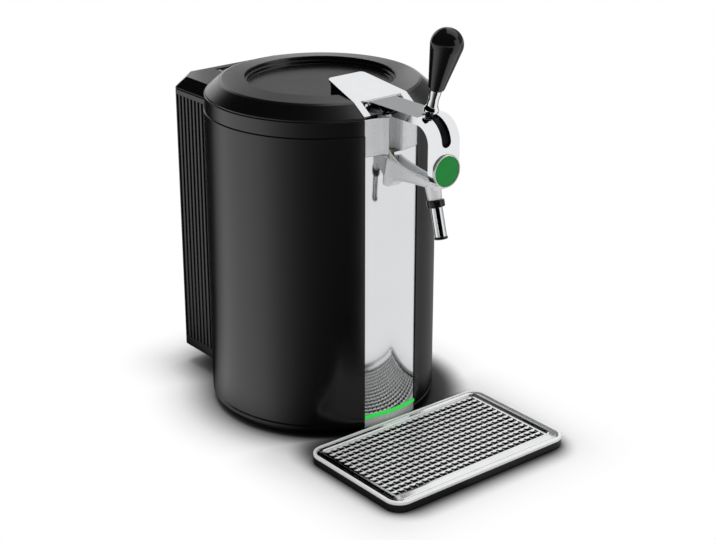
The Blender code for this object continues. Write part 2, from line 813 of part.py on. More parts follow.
def make_well(body):
    outer = WELL_RADIUS + WELL_WALL
    well = turned(
        "keg_well",
        [
            (0, WELL_FLOOR + WELL_WALL),
            (WELL_RADIUS - WELL_CORNER, WELL_FLOOR + WELL_WALL),
            (WELL_RADIUS, WELL_FLOOR + WELL_WALL + WELL_CORNER),
            (WELL_RADIUS, WELL_RIM_TOP),
            (WELL_RIM_RADIUS, WELL_RIM_TOP),
            (WELL_RIM_RADIUS, COLLAR_Z),
            (outer, COLLAR_Z),
            (outer, WELL_FLOOR + WELL_CORNER),
            (outer - WELL_CORNER, WELL_FLOOR),
            (0, WELL_FLOOR),
        ],
        INNER_STEPS,
    )
    place(well, body, aluminium())

    bore = outer + FOAM_CLEARANCE
    block = BLOCK_HALF + BLOCK_ROOM
    niche = NICHE_HALF_WIDTH + PANEL_THICKNESS + FOAM_CLEARANCE
    foam_radius = DRUM_RADIUS - DRUM_WALL - SEAT_GAP * 2
    foam_top = COLLAR_Z - SEAT_GAP * 2
    foam = turned(
        "insulation",
        [
            (0, WELL_FLOOR - SEAT_GAP),
            (bore, WELL_FLOOR - SEAT_GAP),
            (bore, foam_top),
            (foam_radius, foam_top),
            (foam_radius, FOAM_FLOOR),
            (0, FOAM_FLOOR),
        ],
        INNER_STEPS,
    )
    cut(
        foam,
        front_notch(
            "foam_front_cutter",
            PANEL_HALF_WIDTH + FOAM_CLEARANCE,
            PANEL_CORNER - FOAM_CLEARANCE,
            CUT_LOW,
            CUT_HIGH,
        ),
        box(
            "foam_niche_cutter",
            (-niche, -DRUM_RADIUS, PANEL_TOP - FOAM_CLEARANCE),
            (niche, -NICHE_BACK + PANEL_THICKNESS + FOAM_CLEARANCE, CUT_HIGH),
        ),
        box(
            "foam_sink_cutter",
            (-WINDOW_HALF_WIDTH - WINDOW_MARGIN, MODULE_FRONT, FAN_HEIGHT - WINDOW_HALF_HEIGHT - WINDOW_MARGIN),
            (
                WINDOW_HALF_WIDTH + WINDOW_MARGIN,
                DRUM_RADIUS + CUT_MARGIN,
                FAN_HEIGHT + WINDOW_HALF_HEIGHT + WINDOW_MARGIN,
            ),
        ),
        box(
            "foam_block_cutter",
            (-block, WELL_RADIUS - CUT_MARGIN, FAN_HEIGHT - block),
            (block, MODULE_FRONT + SLIDE_GAP, FAN_HEIGHT + block),
        ),
    )
    place(foam, body, finish("pale_foam", (0.75, 0.72, 0.62), 0.9))


# Front of the drum


def make_front(body):
    panel = extruded(
        "front_panel",
        [arc_band(PANEL_RADIUS, PANEL_THICKNESS, PANEL_HALF_WIDTH)],
        LIGHT_TOP + SEAT_GAP,
        PANEL_TOP,
    )
    room = LINE_RADIUS + SLIDE_GAP
    cut(
        panel,
        box(
            "panel_line_cutter",
            (-LINE_OFFSET - room, -PANEL_RADIUS - CUT_MARGIN, PANEL_TOP - PANEL_NOTCH),
            (room - LINE_OFFSET * 0.8, -PANEL_RADIUS + CUT_MARGIN, CUT_HIGH),
        ),
    )
    place(panel, body, mirror_steel())
    light = extruded(
        "light_guide",
        [arc_band(LIGHT_RADIUS, PANEL_THICKNESS + PANEL_INSET, PANEL_HALF_WIDTH)],
        LIGHT_BOTTOM,
        LIGHT_TOP,
    )
    place(light, body, green_light())
    foot = extruded(
        "panel_foot",
        [arc_band(PANEL_RADIUS, PANEL_THICKNESS, PANEL_HALF_WIDTH)],
        DRUM_BOTTOM,
        LIGHT_BOTTOM - SEAT_GAP,
    )
    place(foot, body, mirror_steel())

    make_fascia(body)


def niche_bead(side):
    """The rounded bead that edges the niche, as part of the band's outline from left to right."""
    centre_x = side * (NICHE_HALF_WIDTH + NICHE_BEAD)
    centre_y = -math.sqrt(PANEL_RADIUS**2 - centre_x**2)
    return arc((centre_x, centre_y), NICHE_BEAD, 180, 360, 6)


def make_fascia(body):
    inner_radius = PANEL_RADIUS - PANEL_THICKNESS
    bead_width = NICHE_BEAD * 2
    mouth = NICHE_HALF_WIDTH + bead_width
    cheek = NICHE_HALF_WIDTH + PANEL_THICKNESS
    back = -NICHE_BACK + PANEL_THICKNESS
    outline = front_arc(PANEL_RADIUS, -PANEL_HALF_WIDTH, -mouth, 5)[:-1]
    outline += niche_bead(-1)
    outline += [(-NICHE_HALF_WIDTH, -NICHE_BACK), (NICHE_HALF_WIDTH, -NICHE_BACK)]
    outline += niche_bead(1)
    outline += front_arc(PANEL_RADIUS, mouth, PANEL_HALF_WIDTH, 5)[1:]
    outline += front_arc(inner_radius, cheek, PANEL_HALF_WIDTH, 5)[::-1]
    outline += [(cheek, back), (-cheek, back)]
    outline += front_arc(inner_radius, -PANEL_HALF_WIDTH, -cheek, 5)[::-1]
    fascia = extruded("upper_fascia", [outline], PANEL_TOP + SEAT_GAP, COLLAR_TOP - FASCIA_TOP_DROP)
    room = LINE_RADIUS + SLIDE_GAP
    slot = box(
        "fascia_line_cutter",
        (-LINE_OFFSET - room, -NICHE_BACK - SLIDE_GAP, PANEL_TOP + FASCIA_HEIGHT / 3),
        (-LINE_OFFSET + room, back + SLIDE_GAP, CUT_HIGH),
    )
    cut(fascia, slot)
    place(fascia, body, chrome())


# Lower arm, spout and beer line


def spout_point(along):
    """A point on the spout's axis, a distance below the funnel's mouth."""
    tilt = math.radians(SPOUT_TILT)
    return (0, SPOUT_Y - along * math.sin(tilt), SPOUT_Z - along * math.cos(tilt))


def cradle_ring(y, half_width, bottom, top, radius, spread=0.0):
    """A rounded ring of the lower arm, wider towards its bottom by the spread."""
    outline = rounded_rectangle((-half_width, bottom), (half_width, top), radius, 2)
    return [(x * (1 + spread * (top - z) / (top - bottom)), y, z) for x, z in outline]


def beer_line_route(end):
    """The line's way from the keg over the collar, down the niche, along the lower arm and down the spout."""
    trough = CRADLE_TIP_BOTTOM + CRADLE_WALL + LINE_RADIUS + LINE_CLEARANCE
    over_collar = SEAT_Z - LINE_RADIUS * 2
    beside = -LINE_OFFSET
    drop_y = -NICHE_BACK - LINE_RADIUS - LINE_CLEARANCE
    reach = CRADLE_ROOT_Y - SPOUT_Y
    return [
        (beside, -WELL_RADIUS * 0.72, over_collar - LINE_RADIUS),
        (beside, -WELL_RADIUS * 0.9, over_collar),
        (beside, drop_y + 0.018, over_collar),
        (beside, drop_y + 0.009, over_collar - 0.0015),
        (beside, drop_y + 0.003, over_collar - 0.006),
        (beside, drop_y, over_collar - 0.013),
        (beside, drop_y, PANEL_TOP + 0.008),
        (beside, drop_y - 0.0035, PANEL_TOP + 0.0005),
        (beside * 0.8, drop_y - 0.011, PANEL_TOP - 0.0065),
        (beside * 0.4, CRADLE_ROOT_Y - reach * 0.30, trough + 0.0035),
        (0, CRADLE_ROOT_Y - reach * 0.50, trough + 0.0005),
        (0, SPOUT_Y + 0.018, trough),
        (0, SPOUT_Y + 0.0085, trough - 0.001),
        spout_point(-0.0105),
        spout_point(-0.004),
        spout_point(end),
    ]


def make_cradle(body, route):
    """The lower arm: a snout that narrows from the panel to the funnel, with a channel along its top."""
    outside = []
    channel = []
    count = 12
    inner_half = CRADLE_HALF_WIDTH - CRADLE_WALL
    for i in range(count + 1):
        share = (i / count) ** 1.5
        y = CRADLE_ROOT_Y + (CRADLE_TIP_Y - CRADLE_ROOT_Y) * share
        slope = (1 - share) ** 2
        flare = math.exp(-max(0.0, -PANEL_RADIUS - y) / CRADLE_FADE)
        half_width = CRADLE_HALF_WIDTH + CRADLE_SWELL * slope
        bottom = CRADLE_TIP_BOTTOM - CRADLE_SAG * slope - CRADLE_FLARE_SAG * flare
        top = CRADLE_TIP_TOP + CRADLE_RISE * slope
        rounding = CRADLE_ROUNDING + CRADLE_ROUNDING * slope
        outside.append(cradle_ring(y, half_width, bottom, top, rounding, CRADLE_FLARE * flare))
        inner_y = CRADLE_ROOT_Y + (CRADLE_TIP_Y + CRADLE_WALL - CRADLE_ROOT_Y) * share
        floor = top - CRADLE_TIP_HEIGHT + CRADLE_WALL
        channel.append(cradle_ring(inner_y, inner_half, floor, top + CUT_MARGIN, CRADLE_WALL / 2))
    cradle = lofted("tap_cradle", outside)
    join(
        cradle,
        rod(
            "funnel_body",
            spout_point(-FUNNEL_HEIGHT),
            spout_point(0),
            FUNNEL_RADIUS + FUNNEL_FLARE,
            FUNNEL_RADIUS,
        ),
    )
    cut(
        cradle,
        lofted("cradle_channel_cutter", channel),
        piped("cradle_line_cutter", route, LINE_RADIUS + LINE_CLEARANCE),
        rod(
            "cradle_root_cutter",
            (0, 0, CUT_LOW),
            (0, 0, CUT_HIGH),
            PANEL_RADIUS + SEAT_GAP,
            steps=CUTTER_STEPS,
        ),
    )
    place(cradle, body, chrome())


def make_spout(body):
    ring_start = SEAT_GAP
    ring_end = ring_start + COLLAR_RING_HEIGHT
    tube_start = ring_end + SEAT_GAP
    tube_end = tube_start + SPOUT_LENGTH
    tip_start = tube_end + SEAT_GAP
    tip_end = tip_start + TIP_HEIGHT
    rings = (
        ("nozzle_collar", ring_start, ring_end, COLLAR_RING_RADIUS, black_plastic()),
        ("spout_tube", tube_start, tube_end, SPOUT_RADIUS, chrome()),
        ("spout_tip", tip_start, tip_end, TIP_RADIUS, black_plastic()),
    )
    for name, start, end, radius, material in rings:
        ring = rod(name, spout_point(start), spout_point(end), radius)
        bore_start = spout_point(start - CUT_MARGIN)
        bore_end = spout_point(end + CUT_MARGIN)
        cut(ring, rod(name + "_cutter", bore_start, bore_end, SPOUT_BORE))
        place(ring, body, material)

    route = beer_line_route(tip_end - SLIDE_GAP)
    make_cradle(body, route)
    line = piped("beer_line", route, LINE_RADIUS)
    end = Vector(route[-1])
    beyond = end + (end - Vector(route[-2])).normalized() * CUT_MARGIN
    first = Vector(route[0])
    before = first + (first - Vector(route[1])).normalized() * CUT_MARGIN
    cut(line, piped("beer_line_bore_cutter", [before] + route[1:-1] + [beyond], LINE_BORE, 1))
    place(line, body, finish("clear_tube", (0.85, 0.87, 0.88), 0.15))


# Rear housing and what it holds


def housing_outline(half_width, rear, corner, front):
    return [
        (-half_width, front),
        (half_width, front),
        (half_width, rear - corner),
        (half_width - corner, rear),
        (-half_width + corner, rear),
        (-half_width, rear - corner),
    ]


def tongue_outline(clearance=0.0):
    """The trapezoid behind the drum, from its root to the hinge barrel."""
    root = TONGUE_ROOT_HALF + clearance
    end = HINGE_BARREL_HALF + clearance
    rear = HINGE_Y - HINGE_EAR_DEPTH / 2 - TONGUE_EAR_GAP + clearance
    corner = TONGUE_FRONT + TONGUE_SHOULDER
    right = [(root, TONGUE_FRONT), (root, corner), (end, rear)]
    return [(-x, y) for x, y in right] + right[::-1]


def drum_room(name):
    """A cutter that clears the drum from a piece behind it."""
    return rod(name, (0, 0, CUT_LOW), (0, 0, CUT_HIGH), DRUM_RADIUS + SEAT_GAP, steps=CUTTER_STEPS)


def make_housing(body):
    outline = housing_outline(HOUSING_HALF_WIDTH, HOUSING_REAR, HOUSING_CORNER, HOUSING_FRONT)
    housing = extruded("rear_housing", [outline], HOUSING_BOTTOM, HOUSING_DECK_TOP)
    inside = housing_outline(
        HOUSING_HALF_WIDTH - HOUSING_WALL,
        HOUSING_REAR - HOUSING_WALL,
        HOUSING_CORNER,
        HOUSING_FRONT - CUT_MARGIN,
    )
    wall_front = HOUSING_REAR - HOUSING_WALL - CUT_MARGIN
    wall_rear = HOUSING_REAR + CUT_MARGIN
    cut(
        housing,
        drum_room("housing_drum_cutter"),
        extruded(
            "housing_cavity_cutter", [inside], HOUSING_BOTTOM + HOUSING_WALL, HOUSING_DECK_TOP - HOUSING_DECK
        ),
        box(
            "housing_grille_cutter",
            (-GRILLE_HALF_WIDTH - SEAT_GAP, wall_front, GRILLE_BOTTOM - SEAT_GAP),
            (GRILLE_HALF_WIDTH + SEAT_GAP, wall_rear, GRILLE_TOP + SEAT_GAP),
        ),
    )
    for i in range(RIB_COUNT):
        y = HOUSING_REAR - HOUSING_CORNER - RIB_PITCH * (i + 0.5)
        for side, name in ((-1, "left"), (1, "right")):
            groove = HOUSING_HALF_WIDTH - RIB_DEPTH
            bottom_x, top_x = sorted((side * groove, side * (HOUSING_HALF_WIDTH + CUT_MARGIN)))
            low = (bottom_x, y - RIB_GROOVE / 2, HOUSING_BOTTOM + RIB_END)
            high = (top_x, y + RIB_GROOVE / 2, HOUSING_DECK_TOP - HOUSING_DECK)
            cut(housing, box(f"rib_groove_{name}_{i + 1}_cutter", low, high))
    for name, x, half_width, half_height in (
        ("inlet", INLET_X, INLET_HALF_WIDTH, INLET_HALF_HEIGHT),
        ("switch", SWITCH_X, SWITCH_HALF_WIDTH + SWITCH_WALL, SWITCH_HALF_HEIGHT + SWITCH_WALL),
    ):
        low = (x - half_width - SEAT_GAP, wall_front, SOCKET_HEIGHT - half_height - SEAT_GAP)
        high = (x + half_width + SEAT_GAP, wall_rear, SOCKET_HEIGHT + half_height + SEAT_GAP)
        cut(housing, box(f"housing_{name}_cutter", low, high))
    place(housing, body, black_plastic())
    make_cover(body)


def make_cover(body):
    lower = housing_outline(HOUSING_HALF_WIDTH, HOUSING_REAR, HOUSING_CORNER, HOUSING_FRONT)
    upper = housing_outline(
        HOUSING_HALF_WIDTH - COVER_BEVEL,
        HOUSING_REAR - COVER_REAR_BEVEL,
        HOUSING_CORNER + COVER_BEVEL,
        HOUSING_FRONT,
    )
    rings = [
        [(x, y, COVER_Z) for x, y in lower],
        [(x, y, COVER_Z + COVER_EDGE) for x, y in lower],
        [(x, y, COVER_TOP) for x, y in upper],
    ]
    cover = lofted("rear_top_cover", rings)
    ear_end = HINGE_BARREL_HALF + SLIDE_GAP + HINGE_EAR
    cut(
        cover,
        drum_room("cover_drum_cutter"),
        extruded(
            "cover_tongue_cutter",
            [tongue_outline(SLIDE_GAP)],
            TONGUE_LOW - SLIDE_GAP,
            CUT_HIGH,
        ),
        box(
            "cover_hinge_cutter",
            (-ear_end - SLIDE_GAP, HINGE_Y - HINGE_EAR_DEPTH, CUT_LOW),
            (ear_end + SLIDE_GAP, HINGE_Y + HINGE_ROOM, CUT_HIGH),
        ),
    )
    place(cover, body, black_plastic())


def make_hinge(body):
    inner = HINGE_BARREL_HALF + SLIDE_GAP
    outer = inner + HINGE_EAR
    base_z = HOUSING_DECK_TOP + SEAT_GAP
    ear_top = TONGUE_HIGH - HINGE_EAR_DROP
    outline = [
        (-outer, base_z),
        (outer, base_z),
        (outer, ear_top),
        (inner, ear_top),
        (inner, base_z + HINGE_BRIDGE),
        (-inner, base_z + HINGE_BRIDGE),
        (-inner, ear_top),
        (-outer, ear_top),
    ]
    half_depth = HINGE_EAR_DEPTH / 2
    bracket = extruded("hinge_bracket", [outline], -HINGE_Y - half_depth, -HINGE_Y + half_depth, FRONT)
    bore = rod(
        "hinge_bracket_cutter",
        (-outer - CUT_MARGIN, HINGE_Y, HINGE_Z),
        (outer + CUT_MARGIN, HINGE_Y, HINGE_Z),
        HINGE_PIN_RADIUS + SHAFT_GAP,
        steps=20,
    )
    cut(bracket, bore)
    place(bracket, body, brushed_steel())
    pin = rod("hinge_pin", (-outer, HINGE_Y, HINGE_Z), (outer, HINGE_Y, HINGE_Z), HINGE_PIN_RADIUS, steps=16)
    place(pin, body, brushed_steel())


def make_grille(body):
    low = (-GRILLE_HALF_WIDTH, GRILLE_BOTTOM)
    high = (GRILLE_HALF_WIDTH, GRILLE_TOP)
    outlines = [rounded_rectangle(low, high, GRILLE_INSET, 1)]
    pitch = (GRILLE_TOP - GRILLE_BOTTOM - 2 * GRILLE_MARGIN) / GRILLE_SLATS
    for i in range(GRILLE_SLATS):
        z = GRILLE_BOTTOM + GRILLE_MARGIN + pitch * (i + 0.5)
        slot_low = (-GRILLE_HALF_WIDTH + GRILLE_BORDER, z - GRILLE_SLOT / 2)
        slot_high = (GRILLE_HALF_WIDTH - GRILLE_BORDER, z + GRILLE_SLOT / 2)
        outlines.append(rounded_rectangle(slot_low, slot_high, GRILLE_SLOT_RADIUS, 1))
    rear = -HOUSING_REAR + GRILLE_INSET
    place(extruded("rear_grille", outlines, rear, rear + GRILLE_THICKNESS, FRONT), body, black_plastic())


def make_cooling(body, fan_body):
    z = FAN_HEIGHT
    block = box(
        "cold_block",
        (-BLOCK_HALF, WELL_RADIUS - CUT_MARGIN, z - BLOCK_HALF),
        (BLOCK_HALF, MODULE_FRONT - SEAT_GAP, z + BLOCK_HALF),
    )
    cut(
        block,
        rod(
            "cold_block_cutter",
            (0, 0, CUT_LOW),
            (0, 0, CUT_HIGH),
            WELL_RADIUS + WELL_WALL + SEAT_GAP,
            steps=INNER_STEPS,
        ),
    )
    place(block, body, aluminium())
    half = MODULE_SIZE / 2
    module = box(
        "cooling_module", (-half, MODULE_FRONT, z - half), (half, MODULE_FRONT + MODULE_THICKNESS, z + half)
    )
    place(module, body, finish("white_ceramic", (0.85, 0.85, 0.83), 0.5))

    fin_root = SINK_FRONT + SINK_BASE
    outline = [(-SINK_HALF_WIDTH, SINK_FRONT), (SINK_HALF_WIDTH, SINK_FRONT)]
    pitch = (2 * SINK_HALF_WIDTH - SINK_FIN) / (SINK_FINS - 1)
    for i in range(SINK_FINS):
        right = SINK_HALF_WIDTH - pitch * i
        left = right - SINK_FIN
        if i:
            outline.append((right, fin_root))
        outline += [(right, SINK_REAR), (left, SINK_REAR)]
        if i < SINK_FINS - 1:
            outline.append((left, fin_root))
    sink = extruded("heat_sink", [outline], z - SINK_HALF_HEIGHT, z + SINK_HALF_HEIGHT)
    place(sink, body, aluminium())

    low = (-FAN_HALF, z - FAN_HALF)
    high = (FAN_HALF, z + FAN_HALF)
    frame = extruded(
        "fan_frame",
        [rounded_rectangle(low, high, FAN_CORNER, 2), arc((0, z), FAN_BORE, 0, 350, 35)],
        -FAN_REAR,
        -FAN_FRONT,
        FRONT,
    )
    strut_front = FAN_REAR - FAN_STRUT_DEPTH
    hub = rod("fan_frame_hub", (0, strut_front, z), (0, FAN_REAR, z), FAN_HUB)
    tools = [hub]
    for i in range(3):
        angle = math.radians(90 + 120 * i)
        strut = box(
            f"fan_strut_{i + 1}",
            (-FAN_STRUT / 2, strut_front + SEAT_GAP, FAN_HUB / 2),
            (FAN_STRUT / 2, FAN_REAR - SEAT_GAP, FAN_BORE + FAN_STRUT / 2),
        )
        strut.data.transform(Matrix.Rotation(angle, 4, "Y"))
        strut.data.transform(Matrix.Translation((0, 0, z)))
        tools.append(strut)
    join(frame, *tools)
    place(frame, body, black_plastic())

    rotor = rod(
        "fan_rotor",
        (0, FAN_FRONT + SLIDE_GAP, z),
        (0, strut_front - SHAFT_GAP, z),
        FAN_HUB - SLIDE_GAP,
    )
    blade_middle = (FAN_FRONT + strut_front) / 2
    blades = []
    for i in range(FAN_BLADES):
        blade = box(
            f"fan_blade_{i + 1}",
            (-FAN_BLADE_WIDTH / 2, -FAN_BLADE / 2, FAN_HUB - FAN_STRUT),
            (FAN_BLADE_WIDTH / 2, FAN_BLADE / 2, FAN_BORE - FAN_TIP_GAP),
        )
        blade.data.transform(Matrix.Rotation(math.radians(FAN_BLADE_ANGLE), 4, "Z"))
        blade.data.transform(Matrix.Rotation(2 * math.pi * i / FAN_BLADES, 4, "Y"))
        blade.data.transform(Matrix.Translation((0, blade_middle, z)))
        blades.append(blade)
    join(rotor, *blades)
    place(rotor, fan_body, grey_plastic())


def make_electrics(body, switch_body):
    floor = HOUSING_BOTTOM + HOUSING_WALL + SEAT_GAP
    rear = HOUSING_REAR - HOUSING_WALL - SUPPLY_GAP
    supply = box(
        "power_supply",
        (-SUPPLY_HALF_WIDTH, rear - SUPPLY_DEPTH, floor),
        (SUPPLY_HALF_WIDTH, rear, floor + SUPPLY_HEIGHT),
    )
    place(supply, body, brushed_steel())

    z = SOCKET_HEIGHT
    back = HOUSING_REAR - INLET_DEPTH
    face = HOUSING_REAR - SOCKET_INSET
    inlet = box(
        "power_inlet",
        (INLET_X - INLET_HALF_WIDTH, back, z - INLET_HALF_HEIGHT),
        (INLET_X + INLET_HALF_WIDTH, face, z + INLET_HALF_HEIGHT),
    )
    well = extruded(
        "inlet_well_cutter",
        [
            rounded_rectangle(
                (INLET_X - INLET_HALF_WIDTH + INLET_WALL, z - INLET_HALF_HEIGHT + INLET_WALL),
                (INLET_X + INLET_HALF_WIDTH - INLET_WALL, z + INLET_HALF_HEIGHT - INLET_WALL),
                INLET_WALL,
                3,
            )
        ],
        -HOUSING_REAR - CUT_MARGIN,
        -back - INLET_WALL,
        FRONT,
    )
    cut(inlet, well)
    for i, side in enumerate((-1, 1)):
        x = INLET_X + side * INLET_PIN_SPACING / 2
        start = (x, back + INLET_WALL / 2, z)
        join(inlet, rod(f"inlet_pin_{i + 1}", start, (x, face - INLET_WALL, z), INLET_PIN_RADIUS, steps=10))
    place(inlet, body, black_plastic())

    half_x = SWITCH_HALF_WIDTH
    half_z = SWITCH_HALF_HEIGHT
    frame = box(
        "switch_frame",
        (SWITCH_X - half_x - SWITCH_WALL, HOUSING_REAR - SWITCH_DEPTH, z - half_z - SWITCH_WALL),
        (SWITCH_X + half_x + SWITCH_WALL, face, z + half_z + SWITCH_WALL),
    )
    pocket = box(
        "switch_pocket_cutter",
        (SWITCH_X - half_x - SHAFT_GAP, HOUSING_REAR - SWITCH_DEPTH + SWITCH_FLOOR, z - half_z - SLIDE_GAP),
        (SWITCH_X + half_x + SHAFT_GAP, HOUSING_REAR + CUT_MARGIN, z + half_z + SLIDE_GAP),
    )
    cut(frame, pocket)
    place(frame, body, black_plastic())
    rocker_side = [
        (SWITCH_PIVOT - ROCKER_BODY, z - half_z + SWITCH_WALL),
        (SWITCH_PIVOT + ROCKER_LOW, z - half_z + SHAFT_GAP),
        (SWITCH_PIVOT + ROCKER_MIDDLE, z),
        (SWITCH_PIVOT + ROCKER_HIGH, z + half_z - SEAT_GAP * 2),
        (SWITCH_PIVOT - ROCKER_BODY, z + half_z - SWITCH_WALL),
    ]
    rocker = extruded("power_switch", [rocker_side], SWITCH_X - half_x, SWITCH_X + half_x, SIDE)
    place(rocker, switch_body, grey_plastic())


# Lid


def plate_side(raise_top, lower_bottom):
    """The polished plate's section along the machine, as (y, z), with its skin made thicker up or down."""
    slope = PLATE_RISE / (PLATE_REAR_Y - PLATE_KNEE_Y)
    toe_y = -math.sqrt(LID_RADIUS**2 - PLATE_FRONT_HALF**2) + PLATE_TOE_GAP
    toe_z = LID_Z + PLATE_TOE_GAP
    rear_z = PLATE_FRONT_Z + PLATE_RISE
    top = [(PLATE_REAR_Y, rear_z), (PLATE_KNEE_Y, PLATE_FRONT_Z), (toe_y, toe_z + PLATE_THICKNESS)]
    low = PLATE_THICKNESS + lower_bottom
    bottom = [
        (toe_y + low * 0.75, toe_z),
        (PLATE_KNEE_Y + low * 0.3, PLATE_FRONT_Z - low + 0.3 * low * slope),
        (PLATE_REAR_Y, rear_z - low),
    ]
    return [(y, z + raise_top) for y, z in top] + bottom


def plate_plan(clearance):
    front = -LID_RADIUS - CUT_MARGIN
    rear_half = PLATE_REAR_HALF + clearance
    front_half = PLATE_FRONT_HALF + clearance
    rear = PLATE_REAR_Y + clearance
    corner = PLATE_CORNER
    return (
        [(-front_half, front), (front_half, front), (front_half, PLATE_KNEE_Y)]
        + arc((rear_half - corner, rear - corner), corner, 15, 90, 3)
        + arc((-rear_half + corner, rear - corner), corner, 90, 165, 3)
        + [(-front_half, PLATE_KNEE_Y)]
    )


def make_lid(body):
    slope = (LID_RADIUS - LID_TOP_RADIUS) / LID_BEVEL_HEIGHT
    skin = LID_SKIN
    bevel_skin = skin * math.hypot(1, slope)
    inner_shoulder = LID_SHOULDER - skin
    lip_top = LID_Z + LID_LIP_HEIGHT
    lip_inner = LINER_RADIUS + SHAFT_GAP
    lid = turned(
        "lid_shell",
        [
            (0, DISH_Z),
            (DISH_RADIUS - DISH_STEP, DISH_Z),
            (DISH_RADIUS - DISH_STEP / 2, DISH_Z + DISH_DEPTH * 0.45),
            (DISH_RADIUS + DISH_STEP * 0.6, DISH_Z + DISH_DEPTH * 0.5),
            (DISH_RADIUS + DISH_STEP, LID_CROWN_Z - LID_EDGE),
            (DISH_RADIUS + DISH_STEP * 2, LID_CROWN_Z),
            (LID_TOP_RADIUS - LID_EDGE * 3, LID_SHOULDER + LID_EDGE / 2),
            (LID_TOP_RADIUS + LID_EDGE * 2, LID_SHOULDER - LID_EDGE),
            (LID_RADIUS - LID_EDGE, LID_Z + LID_EDGE * 2),
            (LID_RADIUS - LID_EDGE / 2, LID_Z),
            (lip_inner, LID_Z),
            (lip_inner, lip_top),
            (LID_RADIUS - bevel_skin - (lip_top - LID_Z) * slope, lip_top),
            (LID_TOP_RADIUS - skin, inner_shoulder),
            (DISH_RADIUS + DISH_STEP * 2 + skin, LID_CROWN_Z - skin),
            (DISH_RADIUS + skin, DISH_Z - skin),
            (0, DISH_Z - skin),
        ],
    )
    wedge_back = DISH_Z - skin / 2
    wedge_rear = PLATE_REAR_Y - PLATE_OVERHANG
    wedge_front = -NOTCH_DEPTH + SLIDE_GAP
    wedge = extruded(
        "lid_wedge",
        [
            [
                (wedge_rear, wedge_back),
                (wedge_rear, PLATE_FRONT_Z + PLATE_RISE - PLATE_THICKNESS / 2),
                (wedge_front, PLATE_FRONT_Z - PLATE_THICKNESS / 2),
                (wedge_front, wedge_back),
            ]
        ],
        -PLATE_FRONT_HALF,
        PLATE_FRONT_HALF,
        SIDE,
    )
    keep_inside(wedge, extruded("lid_wedge_plan", [plate_plan(-PLATE_OVERHANG)], DRUM_TOP, CUT_HIGH))
    tongue = extruded("lid_tongue", [tongue_outline()], TONGUE_LOW, TONGUE_HIGH)
    cut(tongue, drum_room("tongue_drum_cutter"))
    join(
        tongue,
        box(
            "tongue_neck",
            (-TONGUE_NECK_HALF, TONGUE_ROOT_Y + SEAT_GAP, TONGUE_LOW),
            (TONGUE_NECK_HALF, HINGE_Y - HINGE_PIN_RADIUS, TONGUE_HIGH),
        ),
        box(
            "tongue_web",
            (-TONGUE_NECK_HALF, TONGUE_ROOT_Y, TONGUE_LOW + SEAT_GAP),
            (TONGUE_NECK_HALF, TONGUE_ROOT_Y + TONGUE_WEB, LID_SHOULDER - skin / 2),
        ),
        rod(
            "tongue_barrel",
            (-HINGE_BARREL_HALF, HINGE_Y, HINGE_Z),
            (HINGE_BARREL_HALF, HINGE_Y, HINGE_Z),
            HINGE_BARREL_RADIUS,
        ),
    )
    join(lid, wedge, tongue)
    reach = PLATE_FRONT_HALF + CUT_MARGIN
    above_plate = extruded("lid_plate_room_cutter", [plate_side(PLATE_ROOM, SEAT_GAP)], -reach, reach, SIDE)
    plan = extruded("lid_plate_plan_cutter", [plate_plan(SEAT_GAP)], DRUM_TOP, CUT_HIGH + PLATE_ROOM)
    keep_inside(above_plate, plan)
    cut(
        lid,
        above_plate,
        front_notch("lid_notch_cutter", NOTCH_HALF_WIDTH, NOTCH_DEPTH, LID_Z - CUT_MARGIN, CUT_HIGH),
        rod(
            "lid_hinge_cutter",
            (-HINGE_BARREL_HALF - CUT_MARGIN, HINGE_Y, HINGE_Z),
            (HINGE_BARREL_HALF + CUT_MARGIN, HINGE_Y, HINGE_Z),
            HINGE_PIN_RADIUS + SHAFT_GAP,
            steps=20,
        ),
    )
    place(lid, body, black_plastic())

    tongue_room = box(
        "liner_tongue_cutter",
        (-TONGUE_NECK_HALF - SLIDE_GAP, TONGUE_ROOT_Y - SLIDE_GAP, LID_Z - CUT_MARGIN),
        (TONGUE_NECK_HALF + SLIDE_GAP, LID_RADIUS + CUT_MARGIN, CUT_HIGH),
    )
    liner_z = LID_Z + SEAT_GAP
    liner = turned(
        "lid_liner",
        [
            (0, liner_z + LINER_THICKNESS),
            (LINER_RADIUS, liner_z + LINER_THICKNESS),
            (LINER_RADIUS, liner_z),
            (0, liner_z),
        ],
        INNER_STEPS,
    )
    cut(liner, tongue_room)
    place(liner, body, grey_plastic())
    gasket_top = liner_z - SEAT_GAP
    gasket_low = SEAT_Z + SEAT_GAP
    gasket = turned(
        "lid_gasket",
        [
            (GASKET_RADIUS - GASKET_TAPER, gasket_top),
            (GASKET_RADIUS, gasket_low),
            (GASKET_RADIUS - GASKET_WIDTH, gasket_low),
            (GASKET_RADIUS - GASKET_WIDTH + GASKET_TAPER, gasket_top),
        ],
        INNER_STEPS,
    )
    gasket_room = box(
        "gasket_tongue_cutter",
        (-TONGUE_NECK_HALF - SLIDE_GAP, WELL_RADIUS / 2, LID_Z - CUT_MARGIN),
        (TONGUE_NECK_HALF + SLIDE_GAP, LID_RADIUS + CUT_MARGIN, CUT_HIGH),
    )
    cut(gasket, gasket_room)
    place(gasket, body, rubber())


def make_plate(body):
    reach = PLATE_FRONT_HALF + CUT_MARGIN
    plate = extruded("lid_plate", [plate_side(0.0, 0.0)], -reach, reach, SIDE)
    keep_inside(plate, extruded("lid_plate_plan", [plate_plan(0.0)], DRUM_TOP, CUT_HIGH))
    inner = PLATE_FRONT_HALF - PLATE_LEG_WIDTH
    leg_room = box(
        "lid_plate_leg_cutter",
        (-inner, -LID_RADIUS - CUT_MARGIN * 2, LID_Z - CUT_MARGIN),
        (inner, ARM_START + SEAT_GAP, CUT_HIGH),
    )
    cut(plate, leg_room)
    place(plate, body, chrome())


# Upper arm and badge


